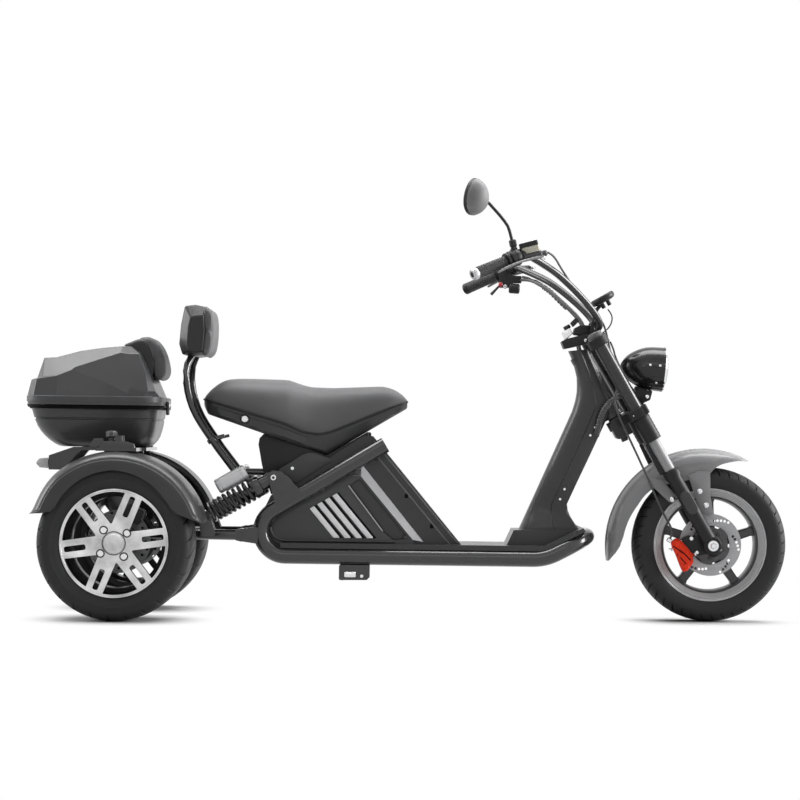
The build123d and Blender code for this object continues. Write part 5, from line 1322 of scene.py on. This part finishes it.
build(
    "headlight_glass", skin(lens_rings), "fork", "clear_lens", lens_clear, lens_painted_shade, lamp_gloss,
    stands_for=("headlight_lens",), pick=painted_facet_shading
)
lamp_rim = [(64, 134.2), (68.6, 133), (69, 135.5), (67, 137.5), (64.5, 137)]
build("headlight_rim", lathe(lamp_rim, lamp_back, lamp_line, 72, looped=True), "fork", "chrome", hard_chrome)
bullet_wall = [(along, radius) for radius, along in bullet[:15]]
louvres = []
lamp_screws = []
for side in (-1, 1):
    for turn, start, end in ((-28, 84, 128), (-4, 62, 128), (22, 84, 128), (46, 90, 124)):
        lip = []
        for along in (start, start + 4, (start + end) / 2, end - 4, end):
            radius = reading(bullet_wall, along)
            swell = 0.0 if along in (start, end) else 1.6
            for shift, lift in ((-2.4, -1.5), (0, swell), (2.4, -1.5)):
                angle = math.radians(turn) + shift / radius
                out = Vector((0, side, 0)) * math.cos(angle) + lamp_up * math.sin(angle)
                lip.append(lamp_back + lamp_line * along + out * (radius + lift))
        faces = [(3 * r + c, 3 * r + c + 1, 3 * r + c + 4, 3 * r + c + 3) for r in range(4) for c in range(2)]
        louvres.append((lip, faces))
    for turn, along in ((8, 86), (8, 116), (-40, 110)):
        angle = math.radians(turn)
        out = Vector((0, side, 0)) * math.cos(angle) + lamp_up * -math.sin(angle)
        radius = reading(bullet_wall, along)
        lamp_screws.append(screw(lamp_back + lamp_line * along + out * (radius - 0.5), out, 4.5, 3))
build("headlight_louvres", joined(*louvres), "fork", "gloss_black", lamp_gloss)
build("headlight_screws", joined(*lamp_screws), "fork", "bright_steel", nut_steel)
cradle = [(670, 697), (696, 706), (704, 716), (716, 709), (745, 707), (738, 678), (711, 665), (703, 684), (677, 680)]
cradle_plates = [plate(cradle, 5, 6, 1, y=side * 20) for side in (-1, 1)]
build("headlight_cradle", joined(*cradle_plates), "fork", "satin_black", leg_black)
cradle_bolts = [screw((728, side * 23, 688), (0, side, 0), 7, 6) for side in (-1, 1)]
build("cradle_bolts", joined(*cradle_bolts), "fork", "bright_steel", nut_steel)


# Handlebar and controls: a bent steel bar in gloss black, with rubber grips, black perches and satin alloy levers.
# The right end has the throttle collar, a bright bar end and the fluid reservoir; the left end has the switch block.
lever_alloy = finish("satin_lever", (0.2, 0.2, 0.205), 0.36, metallic=0.5, tone=0.06, grain=0.04, grain_mm=0.8)
grip_rubber = finish("grip_rubber", (0.045, 0.045, 0.047), 0.5, tone=0.15, grain=0.1, grain_mm=0.8)
reservoir_cream = finish("reservoir_cream", (0.62, 0.6, 0.5), 0.4, tone=0.08, grain=0.1, grain_mm=1.5)
button_red = finish("button_red", (0.5, 0.03, 0.05), 0.35, tone=0.1, coat=0.3)
button_white = finish("button_white", (0.75, 0.75, 0.74), 0.35, tone=0.05, coat=0.3)
switch_black = finish("switch_black", (0.016, 0.016, 0.017), 0.42, tone=0.2, grain=0.15, grain_mm=1.0)


def on_grip(side, along, shift=(0, 0, 0)):
    return Vector((178, side * 385, 1034)) + Vector((0.823, side * -0.44, 0.3595)) * along + Vector(shift)


def smooth_line(points, per_step):
    line = []
    for k in range(len(points) - 1):
        p0, p1, p2, p3 = (Vector(points[min(max(k + n, 0), len(points) - 1)]) for n in (-1, 0, 1, 2))
        for n in range(per_step):
            t = n / per_step
            line.append(curve_point(p0, p1, p2, p3, t))
    return line + [Vector(points[-1])]


BAR = [
    (343, -291, 1097), (368, -268, 1087), (392, -245, 1075), (418, -220, 1061), (444, -196, 1044), (480, -167, 1015),
    (516, -138, 982), (544, -115, 953), (564, -97, 928), (574, -83, 908), (572, -68, 895), (567, -50, 891),
]
half_bar = [on_grip(-1, along) for along in (-2, 60, 120, 165)] + [Vector(p) for p in BAR]
bar_path = smooth_line(half_bar + [Vector((p.x, -p.y, p.z)) for p in reversed(half_bar)], 5)
build("bent_bar", tube(bar_path, 11, 24), "fork", "gloss_black", sleeve_gloss, stands_for=("handlebar",), crease=50)
for side, name in ((-1, "right"), (1, "left")):
    grip_line = on_grip(side, 1) - on_grip(side, 0)
    first = grip_line.cross(Vector((0, 0, 1))).normalized()
    second = first.cross(grip_line).normalized()
    rings = []
    for k in range(69):
        along = 13 + 1.55 * k
        ring = []
        for n in range(64):
            turn = 2 * math.pi * n / 64
            diamond = abs(math.sin(8 * turn + along * 0.42)) * abs(math.sin(8 * turn - along * 0.42))
            radius = 15.6 + 2.3 * diamond ** 0.5
            if k in (0, 68):
                radius = 15
            ring.append(on_grip(side, along) + (first * math.cos(turn) + second * math.sin(turn)) * radius)
        rings.append(ring)
    build(f"grip_sleeve_{name}", skin(rings), "fork", "rubber", grip_rubber, stands_for=once(side, "grips"), crease=50)
    end_ring = [(9, -4), (14, -4), (16.8, -2), (18, 1), (18, 11), (16.5, 13.5), (12, 13.5)]
    end_slot, end_coat = ("bright_alloy", turned_alloy) if side < 0 else ("black_plastic", switch_black)
    build(f"bar_end_{name}", lathe(end_ring, on_grip(side, 0), grip_line, 40, looped=True), "fork", end_slot, end_coat)
    end_plug = [(0, -2), (6, -2.5), (9.5, -1), (9.5, 6), (0, 6)]
    build(f"bar_end_plug_{name}", lathe(end_plug, on_grip(side, 0), grip_line, 32), "fork", "rubber", switch_black)
    collar = [
        (17, 118), (22, 118), (24, 120), (24, 125), (21, 127), (21, 131), (25, 133), (25.5, 136), (25.5, 147),
        (24.6, 147.6), (24.6, 149), (25.5, 149.6), (25.5, 160), (24, 163), (19, 164), (19, 170), (20.5, 171),
        (20.5, 183), (19, 185), (12, 185),
    ]
    build(
        f"throttle_collar_{name}", lathe(collar, on_grip(side, 0), grip_line, 40, looped=True), "fork", "black_plastic",
        switch_black
    )
    clamp_screws = [screw(on_grip(side, at, (-8, 0, 23)), (-0.3, 0, 1), 4, 4) for at in (141, 156)]
    build(f"collar_screws_{name}", joined(*clamp_screws), "fork", "bright_steel", nut_steel)
    arm = tube(
        [on_grip(side, 174), (352, side * 306, 1096), (374, side * 311, 1099), (392, side * 309, 1102)],
        [14, 11, 10, 9], 16
    )
    if side < 0:
        boss = lathe([(0, 0), (9, 0), (9, 12), (0, 12)], (303, -319, 1092), (0, 0, 1), 28)
    else:
        boss = lathe([(0, 0), (9, 0), (9, 40), (5, 40), (5, 24), (0, 24)], on_grip(side, 175), (0, 0, 1), 28)
    build(
        f"lever_perch_{name}", joined(arm, boss), "fork", "black_plastic", switch_black,
        stands_for=once(side, "control_perches"), rounds=1
    )
    lever = [
        (396, 304, 1102), (388, 311, 1098), (372, 321, 1092), (345, 334, 1084), (318, 345, 1076), (290, 356, 1064),
        (262, 366, 1049), (247, 372, 1040),
    ]
    sizes = [9, 10, 8.5, 7, 6.4, 6.2, 6.4, 6]
    build(
        f"lever_blade_{name}", tube([(x, side * y, z) for x, y, z in lever], sizes, 14, flat=0.62), "fork",
        "bright_alloy", lever_alloy, stands_for=once(side, "brake_levers"), rounds=1
    )
    pivot = lathe([(0, -11), (8, -11), (9.5, -9), (9.5, 9), (8, 11), (0, 11)], (386, side * 311, 1098), (0.2, 0, 1), 24)
    build(f"lever_pivot_{name}", pivot, "fork", "bright_steel", nut_steel)

tank_lean = Matrix(((0.966, 0, -0.259, 349), (0, 1, 0, -308), (0.259, 0, 0.966, 1114), (0, 0, 0, 1)))
tank_block = rounded([(-27, -15), (27, -15), (27, 15), (-27, 15)], 6)
build(
    "reservoir_body", moved(stamped([tank_block], 20, 2), tank_lean), "fork", "cream_plastic", reservoir_cream,
    stands_for=("fluid_tank",)
)
cap_block = [(x * 1.04, y * 1.04) for x, y in tank_block]
tank_cap = moved(stamped([cap_block], 14, 2), Matrix.Translation((-2, 0, 17)))
build("reservoir_cap", moved(tank_cap, tank_lean), "fork", "black_plastic", switch_black)
cap_screws = [moved(screw((x, 0, 24), (0, 0, 1), 4.5, 3), tank_lean) for x in (-18, 16)]
build("reservoir_screws", joined(*cap_screws), "fork", "bright_steel", nut_steel)
master = [(0, -4), (11, -4), (12, 0), (12, 52), (9, 55), (9, 66), (6, 70), (0, 70)]
build("master_cylinder", lathe(master, (330, -314, 1089), (0.95, 0, 0.24), 28), "fork", "dark_alloy", dark_steel)

switch_parts = [
    plate([(-22, -26), (22, -26), (22, 26), (-22, 26)], 7, 40, 3, 304, 316, 1062),
    plate([(-16, -12), (16, -12), (16, 12), (-16, 12)], 5, 16, 3, 338, 304, 1062),
    lathe([(0, 0), (13, 0), (15.5, 3), (16, 6), (16, 30), (13, 34), (0, 35)], (314, 301, 1034), (1, 0, -0.06), 32),
    tube([(284, 302, 1042), (270, 302, 1027), (257, 302, 1013)], [3.5, 4, 5], 12),
]
build("switch_block", joined(*switch_parts), "fork", "black_plastic", switch_black)
stop_button = lathe([(0, 0), (7, 0), (7, 7), (5, 9), (0, 9.5)], (287, 300, 1045), (0, -1, 0), 24)
build("stop_button", stop_button, "fork", "caliper_red", button_red)
horn_button = lathe([(0, 0), (6.5, 0), (6.5, 7), (4.5, 9), (0, 9.5)], (302, 300, 1038), (0, -1, 0), 24)
build("horn_button", horn_button, "fork", "cream_plastic", button_white)

# Mirror: a moulded grey oval shell with a black rim round a silvered glass.
# It stands on a bent black rod, screwed into a sleeve nut over the right perch.
mirror_shell = finish("mirror_shell", (0.2, 0.2, 0.204), 0.5, tone=0.05, grain=0.01, grain_mm=1.2)
glass_silver = finish("mirror_silver", (0.85, 0.86, 0.87), 0.04, metallic=1.0, tone=0.02, grain=0.02, grain_mm=20)
mirror_out = Vector((-0.83, 0.54, 0.12)).normalized()
mirror_side = Vector((0, 0, 1)).cross(mirror_out).normalized()
mirror_up = mirror_out.cross(mirror_side)
mirror_at = Vector((180, -338, 1266))


def egg(share, along):
    ring = []
    for k in range(48):
        c, s = polar(1, 360 * k / 48)
        wide = 47 - 6 * s
        ring.append(mirror_at + mirror_side * wide * share * c + mirror_up * 55 * share * s + mirror_out * along)
    return ring


shell = [
    egg(0.02, -43), egg(0.22, -42), egg(0.45, -38), egg(0.66, -31), egg(0.84, -20.5), egg(0.945, -10), egg(0.985, -3.5),
    egg(0.985, -2.5), egg(1.0, -2), egg(1.0, 7), egg(0.97, 9), egg(0.93, 8.6), egg(0.92, 6),
]
rim_dark = lambda centre, normal: 1 if (Vector(centre) - mirror_at).dot(mirror_out) > -3 else 0
build(
    "mirror_dome", skin(shell), "fork", "gloss_black", mirror_shell, switch_black, stands_for=("mirror",),
    pick=rim_dark, crease=30
)
build(
    "mirror_pane", skin([egg(0.935, 6.2), egg(0.935, 8.2), egg(0.5, 8.6), egg(0.02, 8.7)]), "fork", "mirror_glass",
    glass_silver, stands_for=("mirror_glass",)
)
stem = [
    (214, -336, 1256), (226, -334, 1245), (254, -330, 1215), (270, -327, 1196), (280, -325, 1182), (286, -323, 1166),
    (291, -321, 1148), (294, -320, 1136),
]
build("mirror_stem", tube(stem, 4.7, 16), "fork", "gloss_black", switch_black)
sleeve_nut = [
    (0, -26), (10, -26), (10.5, -24), (10.5, -6), (9, -4), (9, 0), (11, 2), (11, 18), (9, 20), (6, 21), (0, 21),
]
build(
    "mirror_sleeve_nut", lathe(sleeve_nut, (298, -319, 1122), (-0.2, 0, 0.98), 8), "fork", "satin_black", switch_black,
    crease=25
)

# Display: a thin round instrument under dark glass, in a moulded black bezel.
# A short stalk from the bar clamp holds it tilted back, with two plugs underneath.
screen_glass = finish("screen_glass", (0.01, 0.011, 0.012), 0.06, tone=0.05, coat=0.6)
dial_at = on_fork(86, 0, 812)
dial = [(0, -6), (24, -6), (33, -4), (37.5, 0.5), (39, 6), (38.5, 11), (36.5, 14), (34.5, 15.5), (33.5, 14.6)]
build(
    "display_bezel", lathe(dial + [(0, 14.4)], dial_at, fork_line, 56), "fork", "black_plastic", switch_black,
    stands_for=("display",)
)
screen = lathe([(0, 15), (33, 15), (33.5, 14.5), (33.5, 13.8), (0, 13.8)], dial_at, fork_line, 56)
build("display_screen", screen, "fork", "gloss_black", screen_glass)
stalk = [on_fork(18, 0, 752), on_fork(30, 0, 780), on_fork(56, 0, 802), on_fork(84, 0, 806)]
build("display_stalk", tube(stalk, 6, 14), "fork", "satin_black", switch_black, rounds=1)
plugs = [
    lathe([(0, -14), (5, -14), (6.5, -11), (6.5, 4), (0, 4)], on_fork(ahead, 0, 804), fork_line, 20)
    for ahead in (76, 96)
]
build("display_plugs", joined(*plugs), "fork", "black_plastic", switch_black)

# Hoses and cables: brake hose, switch wiring, left brake cable and the leads of lamp and display, in black sheath.
# The left cable has a ribbed boot and a screwed adjuster near the lever.
# A ribbed rubber sleeve takes the loom from the column to the fork.
hose_black = finish("hose_sheath", (0.085, 0.085, 0.088), 0.4, tone=0.15, grain=0.1, grain_mm=0.8)


def sheath(name, route, diameter):
    line = bpy.data.curves.new(name, "CURVE")
    line.dimensions = "3D"
    line.bevel_depth = diameter / 2000
    line.bevel_resolution = 4
    line.resolution_u = 10
    line.use_fill_caps = True
    spline = line.splines.new("NURBS")
    spline.points.add(len(route) - 1)
    for point, place in zip(spline.points, route):
        point.co = (place[0] / 1000, place[1] / 1000, place[2] / 1000, 1)
    spline.order_u = 3
    spline.use_endpoint_u = True
    line.materials.append(hose_black)
    piece = bpy.data.objects.new(name, line)
    scene.collection.objects.link(piece)
    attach(piece, "fork")


BRAKE_HOSE = [
    (400, -317, 1106), (411, -309, 1102), (426, -278, 1090), (442, -224, 1072), (458, -182, 1054), (478, -150, 1030),
    (510, -119, 988), (536, -96, 962), (556, -76, 944), (574, -63, 928), (588, -62, 908), (596, -62, 886),
    (602, -62, 860), (607, -61, 838), (614, -60, 812), (622, -60, 782), (631, -62, 750), (634, -66, 722),
    (627, -74, 692), (624, -76, 661), (644, -82, 612), (669, -90, 559), (697, -95, 501), (723, -97, 445),
    (750, -97, 385), (779, -95, 324), (797, -91, 296), (806, -86, 270), (796, -81, 252),
]
sheath("front_brake_hose", BRAKE_HOSE, 6.5)
SWITCH_WIRING = [
    (352, 286, 1060), (368, 260, 1060), (389, 230, 1052), (415, 204, 1038), (440, 178, 1019), (470, 148, 990),
    (498, 122, 962), (524, 102, 934), (538, 91, 910), (540, 84, 888), (530, 79, 864), (522, 77, 844), (542, 70, 798),
    (584, 66, 730), (612, 62, 680), (636, 54, 640),
]
sheath("switch_wiring", SWITCH_WIRING, 10)
BRAKE_CABLE = [
    (356, 292, 1070), (370, 276, 1068), (390, 256, 1056), (416, 232, 1039), (442, 208, 1018), (468, 184, 990),
    (498, 158, 958), (526, 136, 926), (538, 121, 900), (532, 110, 876), (518, 102, 850), (526, 94, 820), (548, 88, 780),
    (575, 84, 735), (604, 80, 684), (628, 72, 640),
]
sheath("left_brake_cable", BRAKE_CABLE, 7)
boot_line = smooth_line([(421, 227, 1035), (442, 208, 1018), (468, 184, 990), (490, 165, 967)], 12)
boot_ribs = [8.6 if k % 4 < 2 else 7 for k in range(len(boot_line))]
build("cable_boot", tube(boot_line, boot_ribs, 16), "fork", "rubber", hose_black, crease=60)
adjuster_line = [(387, 259, 1058), (393, 253, 1054), (395, 251, 1053), (415, 233, 1040), (421, 227, 1035)]
build("cable_adjuster", tube(adjuster_line, [4, 6, 7, 7, 5], 14), "fork", "satin_black", switch_black)
LAMP_LEAD = [
    (690, -30, 704), (677, -44, 715), (663, -53, 738), (649, -57, 762), (635, -58, 788), (625, -55, 812),
    (620, -46, 836), (612, -34, 854),
]
sheath("headlight_lead", LAMP_LEAD, 6)
DISPLAY_LEAD = [(606, 0, 956), (616, 1, 944), (621, 3, 928), (616, 6, 908), (604, 10, 892), (590, 14, 882)]
sheath("display_lead", DISPLAY_LEAD, 4.5)
sleeve_route = [
    (572, -36, 566), (576, -44, 584), (580, -50, 606), (587, -54, 630), (598, -56, 652), (613, -56, 670),
    (632, -54, 684), (650, -50, 694),
]
fine = smooth_line(sleeve_route, 12)
ribbed = tube(fine, [10 if k % 4 < 2 else 7.6 for k in range(len(fine))], 18)
column_sleeve = build("column_sleeve", ribbed, None, "rubber", hose_black, crease=60)
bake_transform(column_sleeve)
